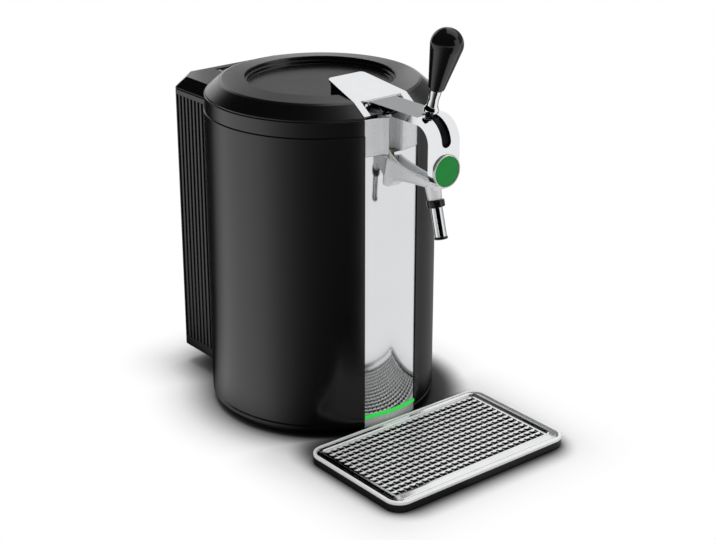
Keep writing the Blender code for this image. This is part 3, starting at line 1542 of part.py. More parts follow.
def arch_arc(radius, start, end, steps):
    """Points of a circle about the lever's axis as (y, z), in degrees forward of straight up."""
    return arc((ARCH_Y, ARCH_Z), radius, 90 + start, 90 + end, steps)


def arm_side(depth_top, depth_bottom, start, foot, steps):
    """The bent arm's section between two depths under its outer face, from its start to its foot."""
    outer = ARCH_RADIUS - depth_top
    inner = ARCH_RADIUS - depth_bottom
    points = [(start, ARCH_Z + outer)] + arch_arc(outer, 0, 90, steps) + [(ARCH_Y - outer, foot)]
    points += [(ARCH_Y - inner, foot)] + arch_arc(inner, 90, 0, steps) + [(start, ARCH_Z + inner)]
    return points


def make_arm(body):
    reach = ARM_FLARE_HALF + CUT_MARGIN
    far = ARM_FACE - CUT_MARGIN
    top = ARCH_Z + ARCH_RADIUS + CUT_MARGIN
    foot = BADGE_Z - ARM_HALF_WIDTH - SLIDE_GAP
    arm = extruded("tap_arm", [arm_side(0.0, ARM_DEPTH, ARM_START, foot, 12)], -reach, reach, SIDE)
    flare_width = ARM_FLARE_HALF - ARM_HALF_WIDTH
    flare = []
    for i in range(9):
        angle = math.radians(90 * i / 8)
        x = ARM_HALF_WIDTH + flare_width * (1 - math.sin(angle))
        flare.append((x, ARM_START - ARM_FLARE_LENGTH * (1 - math.cos(angle))))
    plan = [(ARM_FLARE_HALF, 0.0)] + flare + [(ARM_HALF_WIDTH, far), (-ARM_HALF_WIDTH, far)]
    plan += [(-x, y) for x, y in reversed(flare)] + [(-ARM_FLARE_HALF, 0.0)]
    front = [(reach, BADGE_Z), (reach, top), (-reach, top), (-reach, BADGE_Z)]
    front += arc((0, BADGE_Z), ARM_HALF_WIDTH, 180, 360, 16)
    keep_inside(
        arm,
        extruded("arm_plan", [plan], foot - CUT_MARGIN, top),
        extruded("arm_front", [front], 0.0, -far + CUT_MARGIN, FRONT),
    )
    channel = extruded(
        "arm_channel_cutter",
        [arm_side(ARM_SKIN, ARM_DEPTH + ARM_SKIN, ARM_START - ARM_SKIN, BADGE_Z + CUT_MARGIN, 12)],
        -ARM_CHANNEL_HALF,
        ARM_CHANNEL_HALF,
        SIDE,
    )
    slot_side = arch_arc(ARCH_RADIUS + ARM_SKIN, -SLOT_START, SLOT_END, 12)
    slot_side += arch_arc(CHANNEL_RADIUS - ARM_SKIN, -SLOT_START, SLOT_END, 12)[::-1]
    slot = extruded("arm_slot_cutter", [slot_side], -SLOT_HALF_WIDTH, SLOT_HALF_WIDTH, SIDE)
    slot_low = ARCH_Z + ARCH_RADIUS * math.cos(math.radians(SLOT_END))
    slot_end = rod(
        "arm_slot_end_cutter",
        (0, ARM_FACE - ARM_SKIN, slot_low),
        (0, ARM_FACE + ARM_SKIN * 2, slot_low),
        SLOT_HALF_WIDTH * 0.99,
        steps=16,
    )
    cut(arm, channel, slot, slot_end)
    place(arm, body, chrome())

    ring_back = ARM_FACE - SEAT_GAP
    ring = extruded(
        "badge_ring",
        [
            arc((0, BADGE_Z), BADGE_RING_RADIUS, 0, 350, 35),
            arc((0, BADGE_Z), BADGE_RADIUS + SEAT_GAP, 0, 350, 35),
        ],
        -ring_back,
        -ring_back + BADGE_RING_DEPTH,
        FRONT,
    )
    place(ring, body, finish("pale_trim", (0.72, 0.78, 0.72), 0.3))
    badge = rod("badge", (0, ring_back, BADGE_Z), (0, ring_back - BADGE_DEPTH, BADGE_Z), BADGE_RADIUS, steps=36)
    place(badge, body, green_enamel())


# Lever


def lever_point(along):
    """A point on the lever's own axis, above the arch's outer face."""
    tilt = math.radians(LEVER_TILT)
    return Vector((0, ARCH_Y - along * math.sin(tilt), ARCH_Z + LEVER_OFFSET + along * math.cos(tilt)))


def lean(obj, along):
    """Turn an upright helper on to the lever's axis."""
    turn = Matrix.Rotation(math.radians(LEVER_TILT), 4, "X")
    obj.data.transform(Matrix.Translation(lever_point(along)) @ turn)


def make_solid(obj):
    """Give a helper the mesh that its modifiers make, so that it can be turned."""
    graph = bpy.context.evaluated_depsgraph_get()
    obj.data = bpy.data.meshes.new_from_object(obj.evaluated_get(graph))
    obj.modifiers.clear()


def make_lever(body):
    inner = CARRIAGE_RADIUS - CARRIAGE_THICKNESS
    band = arch_arc(CARRIAGE_RADIUS, -CARRIAGE_BACK, CARRIAGE_FRONT, 14)
    band += arch_arc(inner, -CARRIAGE_BACK, CARRIAGE_FRONT, 14)[::-1]
    carriage = extruded("lever_carriage", [band], -CARRIAGE_HALF_WIDTH, CARRIAGE_HALF_WIDTH, SIDE)
    place(carriage, body, black_plastic())

    shank = turned(
        "lever_shank",
        [
            (0, SHANK_LENGTH),
            (SHANK_TOP_RADIUS, SHANK_LENGTH),
            (SHANK_TOP_RADIUS, SHANK_LENGTH * 0.86),
            (SHANK_RADIUS, SHANK_LENGTH * 0.62),
            (SHANK_RADIUS * 1.12, SHANK_LENGTH * 0.40),
            (SHANK_FLARE_RADIUS, SHANK_LENGTH * 0.26),
            (SHANK_FLARE_RADIUS, SHANK_LENGTH * 0.17),
            (SHANK_RADIUS, SHANK_LENGTH * 0.14),
            (SHANK_RADIUS, -CUT_MARGIN),
            (0, -CUT_MARGIN),
        ],
        24,
    )
    make_solid(shank)
    lean(shank, 0)
    cut(
        shank,
        rod(
            "shank_foot_cutter",
            (-ARM_HALF_WIDTH, ARCH_Y, ARCH_Z),
            (ARM_HALF_WIDTH, ARCH_Y, ARCH_Z),
            CARRIAGE_RADIUS + SEAT_GAP,
            steps=64,
        ),
    )
    place(shank, body, chrome())

    ball_centre = GRIP_LENGTH - GRIP_RADIUS
    lean_angle = math.degrees(math.asin((GRIP_RADIUS - GRIP_FOOT_RADIUS) / ball_centre))
    ball = [
        (max(radius, 0.0), height)
        for radius, height in arc((0, ball_centre), GRIP_RADIUS, 90, -lean_angle, 9)
    ]
    ball[0] = (0, GRIP_LENGTH)
    grip = turned(
        "lever_grip",
        ball + [(GRIP_FOOT_RADIUS, GRIP_EDGE), (GRIP_FOOT_RADIUS - GRIP_EDGE, 0), (0, 0)],
        28,
    )
    make_solid(grip)
    lean(grip, SHANK_LENGTH + SEAT_GAP)
    place(grip, body, black_plastic())


# Drip tray


def make_tray(tray_body, grille_body):
    def ring(inset, z, radius=TRAY_CORNER):
        low = (-TRAY_HALF_WIDTH + inset, TRAY_FRONT + inset)
        high = (TRAY_HALF_WIDTH - inset, TRAY_REAR - inset)
        return [(x, y, z) for x, y in rounded_rectangle(low, high, radius - inset)]

    foot = ring(TRAY_INSET + TRAY_DRAFT, 0)
    tray = lofted("drip_tray", [foot, ring(TRAY_INSET, TRAY_DRAFT), ring(TRAY_INSET, TRAY_HEIGHT)])
    basin = lofted(
        "tray_basin_cutter",
        [ring(TRAY_WALL + TRAY_DRAFT, TRAY_FLOOR), ring(TRAY_WALL, TRAY_HEIGHT + CUT_MARGIN)],
    )
    cut(tray, basin)
    tab_low = (-TRAY_TAB_HALF, TRAY_REAR - TRAY_WALL + TRAY_DRAFT / 2, SEAT_GAP)
    join(tray, box("tray_locating_tab", tab_low, (TRAY_TAB_HALF, TRAY_TAB_REAR, FOOT_HEIGHT)))
    place(tray, tray_body, black_plastic())

    field_top = TRAY_RIM_TOP - FIELD_DROP
    low = (-FIELD_HALF_WIDTH, FIELD_FRONT)
    high = (FIELD_HALF_WIDTH, FIELD_REAR)
    field = rounded_rectangle(low, high, FIELD_CORNER)
    rim = lofted(
        "drip_grille",
        [
            ring(0, TRAY_RIM_Z),
            ring(0, TRAY_RIM_TOP - RIM_EDGE),
            ring(RIM_EDGE, TRAY_RIM_TOP),
            ring(RIM_LIP, TRAY_RIM_TOP),
            [(x, y, field_top) for x, y in field],
            [(x, y, TRAY_RIM_Z) for x, y in field],
        ],
        ring_shaped=True,
    )
    sheet = perforated_sheet("grille_sheet", low, high, field_top - SHEET_DROP)
    join(rim, sheet)
    place(rim, grille_body, brushed_steel())


def perforated_sheet(name, low, high, top):
    """A thin sheet with rows of square holes, its margin reaching a little into the rim."""
    across = hole_lines(low[0], high[0], HOLE_COLUMNS)
    along = hole_lines(low[1], high[1], HOLE_ROWS)
    bm = bmesh.new()
    bmesh.ops.create_grid(bm, x_segments=len(across) - 1, y_segments=len(along) - 1, size=0.5)
    for vert in bm.verts:
        column = round((vert.co.x + 0.5) * (len(across) - 1))
        row = round((vert.co.y + 0.5) * (len(along) - 1))
        vert.co = (across[column], along[row], top)
    holes = []
    for face in bm.faces:
        centre = face.calc_center_median()
        column = sum(line < centre.x for line in across) - 1
        row = sum(line < centre.y for line in along) - 1
        if column % 2 and row % 2:
            holes.append(face)
    bmesh.ops.delete(bm, geom=holes, context="FACES")
    sheet = helper(name, mesh_from(name, bm))
    solidify = sheet.modifiers.new("sheet", "SOLIDIFY")
    solidify.thickness = SHEET_THICKNESS
    solidify.offset = -1.0
    return sheet


def hole_lines(low, high, count):
    """The edges of a row of holes: sheet edge, then each hole's two sides, then sheet edge."""
    pitch = (high - low - 2 * SHEET_MARGIN) / count
    hole = pitch * HOLE_SHARE
    lines = [low - SHEET_OVERLAP]
    for i in range(count):
        start = low + SHEET_MARGIN + pitch * i + (pitch - hole) / 2
        lines += [start, start + hole]
    return lines + [high + SHEET_OVERLAP]


clear_scene()
PARTS = new_collection("mini_keg_beer_dispenser")
HELPERS = new_collection("cutters_and_joined_shapes")

machine = new_body("machine_frame")
machine.location = (0, FRAME_SHIFT, 0)
lid = new_body("lid_hinge_axis", (0, HINGE_Y, HINGE_Z), machine)
lever = new_body("lever_axis", (0, ARCH_Y, ARCH_Z), lid)
tray_slide = new_body("tray_slide", (0, TRAY_FRONT, 0), machine)
grille_lift = new_body("grille_lift", (0, TRAY_FRONT, TRAY_HEIGHT), tray_slide)
fan = new_body("fan_axis", (0, FAN_FRONT, FAN_HEIGHT), machine)
switch = new_body("switch_axis", (SWITCH_X, SWITCH_PIVOT, SOCKET_HEIGHT), machine)

make_base(machine)
make_casing(machine)
make_collar(machine)
make_well(machine)
make_front(machine)
make_spout(machine)
make_housing(machine)
make_hinge(machine)
make_grille(machine)
make_cooling(machine, fan)
make_electrics(machine, switch)
make_lid(lid)
make_plate(lid)
make_arm(lid)
make_lever(lever)
make_tray(tray_slide, grille_lift)
bpy.context.view_layer.update()
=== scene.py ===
import math

import bmesh
import bpy
from mathutils import Matrix, Vector


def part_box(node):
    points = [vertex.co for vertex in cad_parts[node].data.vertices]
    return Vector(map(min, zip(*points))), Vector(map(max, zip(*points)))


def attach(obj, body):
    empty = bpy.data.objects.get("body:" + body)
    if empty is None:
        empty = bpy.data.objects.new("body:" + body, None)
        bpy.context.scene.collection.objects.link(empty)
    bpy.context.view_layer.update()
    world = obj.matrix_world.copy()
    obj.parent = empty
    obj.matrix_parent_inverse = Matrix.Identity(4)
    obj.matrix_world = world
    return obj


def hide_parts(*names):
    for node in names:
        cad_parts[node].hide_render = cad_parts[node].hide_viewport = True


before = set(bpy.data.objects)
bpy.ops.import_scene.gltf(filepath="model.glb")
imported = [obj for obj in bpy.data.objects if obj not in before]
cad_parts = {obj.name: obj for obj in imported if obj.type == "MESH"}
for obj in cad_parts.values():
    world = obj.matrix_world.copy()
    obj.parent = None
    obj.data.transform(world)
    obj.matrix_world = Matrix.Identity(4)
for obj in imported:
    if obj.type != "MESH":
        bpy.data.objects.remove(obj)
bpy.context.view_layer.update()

# Every mesh is drawn in millimetres about the drum's axis, and finishPiece puts it into the frame.
millimetre = 0.001
wellLow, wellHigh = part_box("keg_well")
axisY = (wellLow.y + wellHigh.y) / 2
toFrame = Matrix.Translation((0, axisY, 0)) @ Matrix.Scale(millimetre, 4)


def nodeBox(name):
    low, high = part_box(name)
    shift = Vector((0, axisY, 0))
    return (low - shift) / millimetre, (high - shift) / millimetre


def toLinear(code):
    parts = [int(code[i : i + 2], 16) / 255 for i in (1, 3, 5)]
    return (*[c / 12.92 if c <= 0.04045 else ((c + 0.055) / 1.055) ** 2.4 for c in parts], 1.0)


def addNode(tree, kind, settings={}, inputs={}):
    made = tree.nodes.new(kind)
    for key, value in settings.items():
        setattr(made, key, value)
    for key, value in inputs.items():
        if isinstance(value, bpy.types.NodeSocket):
            tree.links.new(value, made.inputs[key])
        else:
            made.inputs[key].default_value = value
    return made


# Materials

def makeSurface(name, settings):
    # One recipe for every finish: a fine grain in the surface, and wear that shifts its gloss and colour.
    material = bpy.data.materials.new(name)
    material.use_nodes = True
    tree = material.node_tree
    shader = tree.nodes["Principled BSDF"]
    place = addNode(tree, "ShaderNodeTexCoord").outputs["Object"]
    mapped = addNode(
        tree, "ShaderNodeMapping", inputs={"Vector": place, "Scale": settings.get("stretch", (1, 1, 1))}
    ).outputs["Vector"]
    grain = addNode(
        tree,
        "ShaderNodeTexNoise",
        inputs={"Vector": mapped, "Scale": 1000 / settings["grain"], "Detail": 3.0, "Roughness": 0.6},
    )
    bump = addNode(
        tree,
        "ShaderNodeBump",
        inputs={
            "Height": grain.outputs["Fac"],
            "Strength": settings.get("strength", 0.5),
            "Distance": settings["depth"] * millimetre,
        },
    )
    smear = addNode(
        tree, "ShaderNodeTexNoise", inputs={"Vector": place, "Scale": 1000 / settings["smear"], "Detail": 3.0}
    )
    low, high = settings["roughness"]
    rough = addNode(
        tree,
        "ShaderNodeMapRange",
        inputs={
            "Value": smear.outputs["Fac"], "From Min": 0.3, "From Max": 0.7, "To Min": low, "To Max": high,
        },
    )
    tint = addNode(
        tree,
        "ShaderNodeMix",
        {"data_type": "RGBA"},
        {0: smear.outputs["Fac"], 6: toLinear(settings["colour"]), 7: toLinear(settings["shade"])},
    )
    tree.links.new(tint.outputs[2], shader.inputs["Base Color"])
    tree.links.new(rough.outputs["Result"], shader.inputs["Roughness"])
    tree.links.new(bump.outputs["Normal"], shader.inputs["Normal"])
    for key, value in settings.get("shader", {}).items():
        shader.inputs[key].default_value = value
    return material


surfaces = {
    # Injection-moulded ABS with a fine satin texture: a wide soft highlight on near black.
    "blackMoulding": {
        "colour": "#0a0a0b", "shade": "#080809", "grain": 0.35, "depth": 0.008, "smear": 60,
        "roughness": (0.20, 0.24), "shader": {"Specular IOR Level": 0.7},
    },
    # Polished moulding: sharp, narrow reflections on black.
    "blackGloss": {
        "colour": "#0e0e0f", "shade": "#0c0c0d", "grain": 1.2, "depth": 0.004, "smear": 25,
        "roughness": (0.10, 0.16),
    },
    # Fibre-filled moulding: dull grey.
    "greyMoulding": {
        "colour": "#8d9092", "shade": "#85888a", "grain": 0.4, "depth": 0.02, "smear": 40,
        "roughness": (0.42, 0.52),
    },
    # Soft moulded rubber: no clear reflection.
    "feetRubber": {
        "colour": "#1c1c1c", "shade": "#171717", "grain": 0.3, "depth": 0.03, "smear": 20,
        "roughness": (0.75, 0.85),
    },
    # Decorative chrome over a polished zinc casting: near mirror, with a slight orange peel.
    "tapChrome": {
        "colour": "#e9eaec", "shade": "#e2e3e5", "grain": 9.0, "depth": 0.010, "smear": 18,
        "roughness": (0.05, 0.09), "shader": {"Metallic": 1.0},
    },
    # Satin plated metal with a mostly diffuse pale colour: a painted sheen, a wide pale tone in place of a
    # mirror image.
    "paintedSheenPlate": {
        "colour": "#e6e7e9", "shade": "#dfe0e2", "grain": 0.5, "depth": 0.004, "smear": 25,
        "roughness": (0.24, 0.30), "shader": {"Metallic": 0.15},
    },
    # Punched stainless sheet with a near-white, mostly diffuse colour: a painted sheen in place of its
    # reflection, so its lands scatter the light from above.
    "paintedSheenSteel": {
        "colour": "#fafafa", "shade": "#f4f5f5", "grain": 0.5, "depth": 0.005, "smear": 20,
        "roughness": (0.28, 0.36), "shader": {"Metallic": 0.12},
    },
    # Textured ABS of the drip tray: a dull dark grey that hides scratches.
    "trayMoulding": {
        "colour": "#262627", "shade": "#212122", "grain": 0.5, "depth": 0.02, "smear": 40,
        "roughness": (0.48, 0.56), "shader": {"Specular IOR Level": 0.35},
    },
    # Matt moulding for pieces that lie in shade behind the slot: painted shade, black without a highlight.
    "dullBlack": {
        "colour": "#060606", "shade": "#050505", "grain": 0.4, "depth": 0.01, "smear": 20,
        "roughness": (0.45, 0.55), "shader": {"Specular IOR Level": 0.12},
    },
    # Bright annealed stainless sheet: a mirror that is a little greyer than the chrome.
    "panelMirror": {
        "colour": "#dcddde", "shade": "#d6d7d8", "grain": 40.0, "depth": 0.02, "smear": 70,
        "roughness": (0.06, 0.10), "shader": {"Metallic": 1.0},
    },
    # Zinc-plated steel: soft grey metal.
    "hingeSteel": {
        "colour": "#b4b6b8", "shade": "#a6a8aa", "grain": 0.6, "depth": 0.01, "smear": 8,
        "roughness": (0.28, 0.38), "shader": {"Metallic": 0.75},
    },
    # Polished stainless pressing with faint lines along its length from the polishing belt.
    "grilleSteel": {
        "colour": "#eff0f0", "shade": "#e8e9ea", "grain": 0.5, "depth": 0.004, "smear": 30,
        "roughness": (0.12, 0.18), "stretch": (0.03, 1, 1), "shader": {"Metallic": 1.0},
    },
    # Deep-drawn aluminium: lines run up the wall, satin sheen.
    "wellAluminium": {
        "colour": "#c3c5c7", "shade": "#b9bbbd", "grain": 0.6, "depth": 0.01, "smear": 40,
        "roughness": (0.26, 0.36), "stretch": (1, 1, 0.05), "shader": {"Metallic": 0.6},
    },
    # Transfer-printed enamel under a clear coat: even green, glossy.
    "badgeGreen": {
        "colour": "#0a8f36", "shade": "#087e2f", "grain": 2.0, "depth": 0.003, "smear": 12,
        "roughness": (0.22, 0.28),
        "shader": {"Specular IOR Level": 0.15, "Coat Weight": 0.1, "Coat Roughness": 0.05},
    },
    # Pale plated trim round the badge.
    "paleTrim": {
        "colour": "#dfe3df", "shade": "#d5dad5", "grain": 2.0, "depth": 0.003, "smear": 10,
        "roughness": (0.18, 0.24), "shader": {"Metallic": 0.6},
    },
    # Food-grade tube: milky and smooth.
    "linePlastic": {
        "colour": "#e3e6e7", "shade": "#dadedf", "grain": 1.5, "depth": 0.005, "smear": 15,
        "roughness": (0.22, 0.30), "shader": {"Subsurface Weight": 0.2, "Subsurface Scale": 0.002},
    },
    # Blown polyurethane foam: cream, pitted skin.
    "foam": {
        "colour": "#ddd6bd", "shade": "#cfc7ab", "grain": 1.6, "depth": 0.3, "smear": 30,
        "roughness": (0.8, 0.9),
    },
    # Epoxy board under solder resist.
    "circuitBoard": {
        "colour": "#0f5a2c", "shade": "#0c4d25", "grain": 0.8, "depth": 0.01, "smear": 12,
        "roughness": (0.35, 0.45),
    },
    # Alumina plates of the thermoelectric module.
    "ceramic": {
        "colour": "#e6e6e2", "shade": "#dcdcd8", "grain": 0.3, "depth": 0.01, "smear": 10,
        "roughness": (0.5, 0.6),
    },
}
finishes = {name: makeSurface(name, settings) for name, settings in surfaces.items()}


def makeGlow(name, settings):
    # Edge-lit acrylic strip: the green lamps behind it make the whole strip shine evenly.
    material = makeSurface(name, settings)
    shader = material.node_tree.nodes["Principled BSDF"]
    shader.inputs["Emission Color"].default_value = toLinear(settings["glow"])
    shader.inputs["Emission Strength"].default_value = settings["power"]
    return material


finishes["lightGreen"] = makeGlow(
    "lightGreen",
    {
        "colour": "#35d84f", "shade": "#2fcd49", "grain": 2.0, "depth": 0.002, "smear": 30,
        "roughness": (0.25, 0.3), "glow": "#23c846", "power": 0.6,
    },
)


def slotMaterial(slotName):
    # Each slot's finish has the slot's own name, in camel case.
    first, *rest = slotName.split("_")
    return finishes[first + "".join(part.title() for part in rest)]


print("materials ready")


# Mesh helpers

def scratch(name, bm):
    mesh = bpy.data.meshes.new(name)
    bm.to_mesh(mesh)
    bm.free()
    made = bpy.data.objects.new(name, mesh)
    bpy.context.scene.collection.objects.link(made)
    return made


def bakeMesh(target):
    graph = bpy.context.evaluated_depsgraph_get()
    mesh = bpy.data.meshes.new_from_object(target.evaluated_get(graph))
    target.modifiers.clear()
    old = target.data
    target.data = mesh
    bpy.data.meshes.remove(old)
    return target


def arc(centre, radius, start, end, steps):
    found = []
    for i in range(steps + 1):
        angle = math.radians(start + (end - start) * i / steps)
        found.append((centre[0] + radius * math.cos(angle), centre[1] + radius * math.sin(angle)))
    return found


def filleted(corners, closed=True, steps=5):
    # Corners are (u, v) or (u, v, radius); each radius becomes an arc that touches both its sides.
    points = []
    count = len(corners)
    for i, corner in enumerate(corners):
        here = Vector(corner[:2])
        radius = corner[2] if len(corner) > 2 else 0
        if radius <= 0 or (not closed and i in (0, count - 1)):
            points.append(tuple(here))
            continue
        before = Vector(corners[i - 1][:2]) - here
        after = Vector(corners[(i + 1) % count][:2]) - here
        turn = math.pi - before.angle(after)
        reach = min(radius * math.tan(turn / 2), before.length * 0.49, after.length * 0.49)
        radius = reach / math.tan(turn / 2)
        first = here + before.normalized() * reach
        last = here + after.normalized() * reach
        centre = here + (before.normalized() + after.normalized()).normalized() * math.hypot(radius, reach)
        start = math.atan2(*(first - centre).yx)
        sweep = (math.atan2(*(last - centre).yx) - start + math.pi) % math.tau - math.pi
        for k in range(steps + 1):
            angle = start + sweep * k / steps
            points.append((centre.x + radius * math.cos(angle), centre.y + radius * math.sin(angle)))
    return points


def roundedBox(left, right, low, high, radius, steps=5):
    corners = [(right, high, radius), (left, high, radius), (left, low, radius), (right, low, radius)]
    return filleted(corners, steps=steps)


def lathe(name, profile, steps=192, span=(0.0, 360.0)):
    # A profile of (radius, height) turned about the drum's axis, in degrees from the front.
    full = span[1] - span[0] >= 360.0
    closed = profile[0][0] > 0 or profile[-1][0] > 0
    bm = bmesh.new()
    rows = []
    for i in range(steps if full else steps + 1):
        angle = math.radians(span[0] + (span[1] - span[0]) * i / steps)
        rows.append([bm.verts.new((r * math.sin(angle), -r * math.cos(angle), z)) for r, z in profile])
    pairs = list(zip(rows, rows[1:]))
    if full:
        pairs.append((rows[-1], rows[0]))
    links = list(zip(range(len(profile)), range(1, len(profile))))
    if closed:
        links.append((len(profile) - 1, 0))
    for near, far in pairs:
        for a, b in links:
            bm.faces.new((near[a], near[b], far[b], far[a]))
    if not full:
        bm.faces.new(rows[0])
        bm.faces.new(rows[-1])
    bmesh.ops.remove_doubles(bm, verts=bm.verts, dist=0.0001)
    bmesh.ops.recalc_face_normals(bm, faces=bm.faces)
    return scratch(name, bm)


views = {
    "plan": Matrix.Identity(4),
    "side": Matrix(((0, 0, 1, 0), (1, 0, 0, 0), (0, 1, 0, 0), (0, 0, 0, 1))),
    "front": Matrix(((1, 0, 0, 0), (0, 0, -1, 0), (0, 1, 0, 0), (0, 0, 0, 1))),
}


def extrude(name, outlines, start, end, view="plan"):
    curve = bpy.data.curves.new(name, "CURVE")
    curve.dimensions = "2D"
    curve.fill_mode = "BOTH"
    curve.extrude = (end - start) / 2
    for outline in outlines:
        spline = curve.splines.new("POLY")
        spline.points.add(len(outline) - 1)
        for point, (u, v) in zip(spline.points, outline):
            point.co = (u, v, 0.0, 1.0)
        spline.use_cyclic_u = True
    drawn = bpy.data.objects.new(name + "Outline", curve)
    bpy.context.scene.collection.objects.link(drawn)
    graph = bpy.context.evaluated_depsgraph_get()
    bm = bmesh.new()
    bm.from_mesh(bpy.data.meshes.new_from_object(drawn.evaluated_get(graph)))
    bpy.data.objects.remove(drawn)
    bmesh.ops.remove_doubles(bm, verts=bm.verts, dist=0.0005)
    placing = views[view] @ Matrix.Translation((0, 0, (start + end) / 2))
    bmesh.ops.transform(bm, matrix=placing, verts=bm.verts)
    bmesh.ops.recalc_face_normals(bm, faces=bm.faces)
    return scratch(name, bm)


def block(name, low, high):
    bm = bmesh.new()
    bmesh.ops.create_cube(bm, size=1.0)
    low, high = Vector(low), Vector(high)
    bmesh.ops.transform(bm, matrix=Matrix.Diagonal((*(high - low), 1.0)), verts=bm.verts)
    bmesh.ops.translate(bm, vec=(low + high) / 2, verts=bm.verts)
    return scratch(name, bm)


def loft(name, rings, ringShaped=False):
    bm = bmesh.new()
    rows = [[bm.verts.new(point) for point in ring] for ring in rings]
    pairs = list(zip(rows, rows[1:]))
    if ringShaped:
        pairs.append((rows[-1], rows[0]))
    count = len(rows[0])
    for lower, upper in pairs:
        for i in range(count):
            j = (i + 1) % count
            bm.faces.new((lower[i], lower[j], upper[j], upper[i]))
    if not ringShaped:
        bm.faces.new(rows[0])
        bm.faces.new(rows[-1])
    bmesh.ops.recalc_face_normals(bm, faces=bm.faces)
    return scratch(name, bm)


def rod(name, start, end, radius, steps=64):
    start, end = Vector(start), Vector(end)
    axis = end - start
    made = lathe(name, [(0, 0), (radius, 0), (radius, axis.length), (0, axis.length)], steps)
    made.data.transform(Matrix.Translation(start) @ axis.to_track_quat("Z", "Y").to_matrix().to_4x4())
    return made


def tube(name, points, radius, sides=16):
    # A round tube with closed ends; each ring is square to the path.
    rings = []
    up = Vector((1, 0, 0))
    for i, point in enumerate(points):
        ahead = Vector(points[min(i + 1, len(points) - 1)]) - Vector(points[max(i - 1, 0)])
        across = up - ahead.normalized() * up.dot(ahead.normalized())
        across.normalize()
        lift = ahead.normalized().cross(across)
        ring = []
        for k in range(sides):
            angle = math.tau * k / sides
            ring.append(Vector(point) + (across * math.cos(angle) + lift * math.sin(angle)) * radius)
        rings.append(ring)
    return loft(name, rings)


def smoothPath(points, steps=6):
    # A smooth curve through every point, each stretch bent by its neighbours.
    found = []
    last = len(points) - 1
    for i in range(last):
        a, b, c, d = (Vector(points[min(max(k, 0), last)]) for k in (i - 1, i, i + 1, i + 2))
        for k in range(steps):
            t = k / steps
            square = (2 * a - 5 * b + 4 * c - d) * t * t
            cube = (3 * b - a - 3 * c + d) * t**3
            found.append(0.5 * (2 * b + (c - a) * t + square + cube))
    return found + [Vector(points[-1])]


def combine(target, tools, operation="DIFFERENCE"):
    for tool in tools:
        modifier = target.modifiers.new("shape", "BOOLEAN")
        modifier.operation = operation
        modifier.solver = "EXACT"
        modifier.object = tool
    bakeMesh(target)
    for tool in tools:
        bpy.data.objects.remove(tool)
    return target


def soften(target, width, segments=3, angle=35):
    # A small round on each hard edge catches the light as a moulded or cast edge does.
    modifier = target.modifiers.new("soften", "BEVEL")
    modifier.width = width
    modifier.segments = segments
    modifier.limit_method = "ANGLE"
    modifier.angle_limit = math.radians(angle)
    return bakeMesh(target)


def finishPiece(target, body, slotName, nodes=(), smoothAngle=32, finish=None):
    target.data.transform(toFrame)
    target.data.materials.clear()
    target.data.materials.append(finishes[finish] if finish else slotMaterial(slotName))
    target.data.shade_smooth()
    target.data.set_sharp_from_angle(angle=math.radians(smoothAngle))
    # Large flat faces keep their own direction, and the narrow rounds between them take up the turn.
    weighted = target.modifiers.new("weighted", "WEIGHTED_NORMAL")
    weighted.keep_sharp = True
    bakeMesh(target)
    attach(target, body)
    if nodes:
        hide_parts(*nodes)
    return target


# Geometry Nodes helpers

def newTree(name, sockets):
    tree = bpy.data.node_groups.new(name, "GeometryNodeTree")
    tree.is_modifier = True
    tree.interface.new_socket("Geometry", in_out="OUTPUT", socket_type="NodeSocketGeometry")
    for label, kind in sockets:
        tree.interface.new_socket(label, in_out="INPUT", socket_type=kind)
    return tree, addNode(tree, "NodeGroupInput").outputs, addNode(tree, "NodeGroupOutput")


def endTree(tree, out, geometry, material):
    realized = addNode(tree, "GeometryNodeRealizeInstances", inputs={"Geometry": geometry}).outputs[0]
    merged = addNode(
        tree, "GeometryNodeMergeByDistance", inputs={"Geometry": realized, "Distance": 0.0005}
    ).outputs[0]
    dressed = addNode(
        tree, "GeometryNodeSetMaterial", inputs={"Geometry": merged, "Material": material}
    ).outputs[0]
    tree.links.new(dressed, out.inputs[0])
    return tree


def grow(name, tree, values):
    made = scratch(name, bmesh.new())
    modifier = made.modifiers.new("grow", "NODES")
    modifier.node_group = tree
    for item in tree.interface.items_tree:
        if item.item_type == "SOCKET" and item.in_out == "INPUT":
            modifier[item.identifier] = values[item.name]
    return bakeMesh(made)


def makeCopyGrid():
    # Copies of one small mesh on a grid of points: perforations and screw heads.
    tree, given, out = newTree(
        "copyGrid",
        [
            ("Cell", "NodeSocketObject"), ("Columns", "NodeSocketInt"), ("Rows", "NodeSocketInt"),
            ("Width", "NodeSocketFloat"), ("Depth", "NodeSocketFloat"), ("Centre", "NodeSocketVector"),
            ("Finish", "NodeSocketMaterial"),
        ],
    )
    points = addNode(
        tree,
        "GeometryNodeMeshGrid",
        inputs={
            "Size X": given["Width"], "Size Y": given["Depth"],
            "Vertices X": given["Columns"], "Vertices Y": given["Rows"],
        },
    ).outputs["Mesh"]
    cell = addNode(tree, "GeometryNodeObjectInfo", inputs={"Object": given["Cell"]}).outputs["Geometry"]
    placed = addNode(
        tree, "GeometryNodeInstanceOnPoints", inputs={"Points": points, "Instance": cell}
    ).outputs[0]
    moved = addNode(
        tree, "GeometryNodeTransform", inputs={"Geometry": placed, "Translation": given["Centre"]}
    ).outputs[0]
    return endTree(tree, out, moved, given["Finish"])


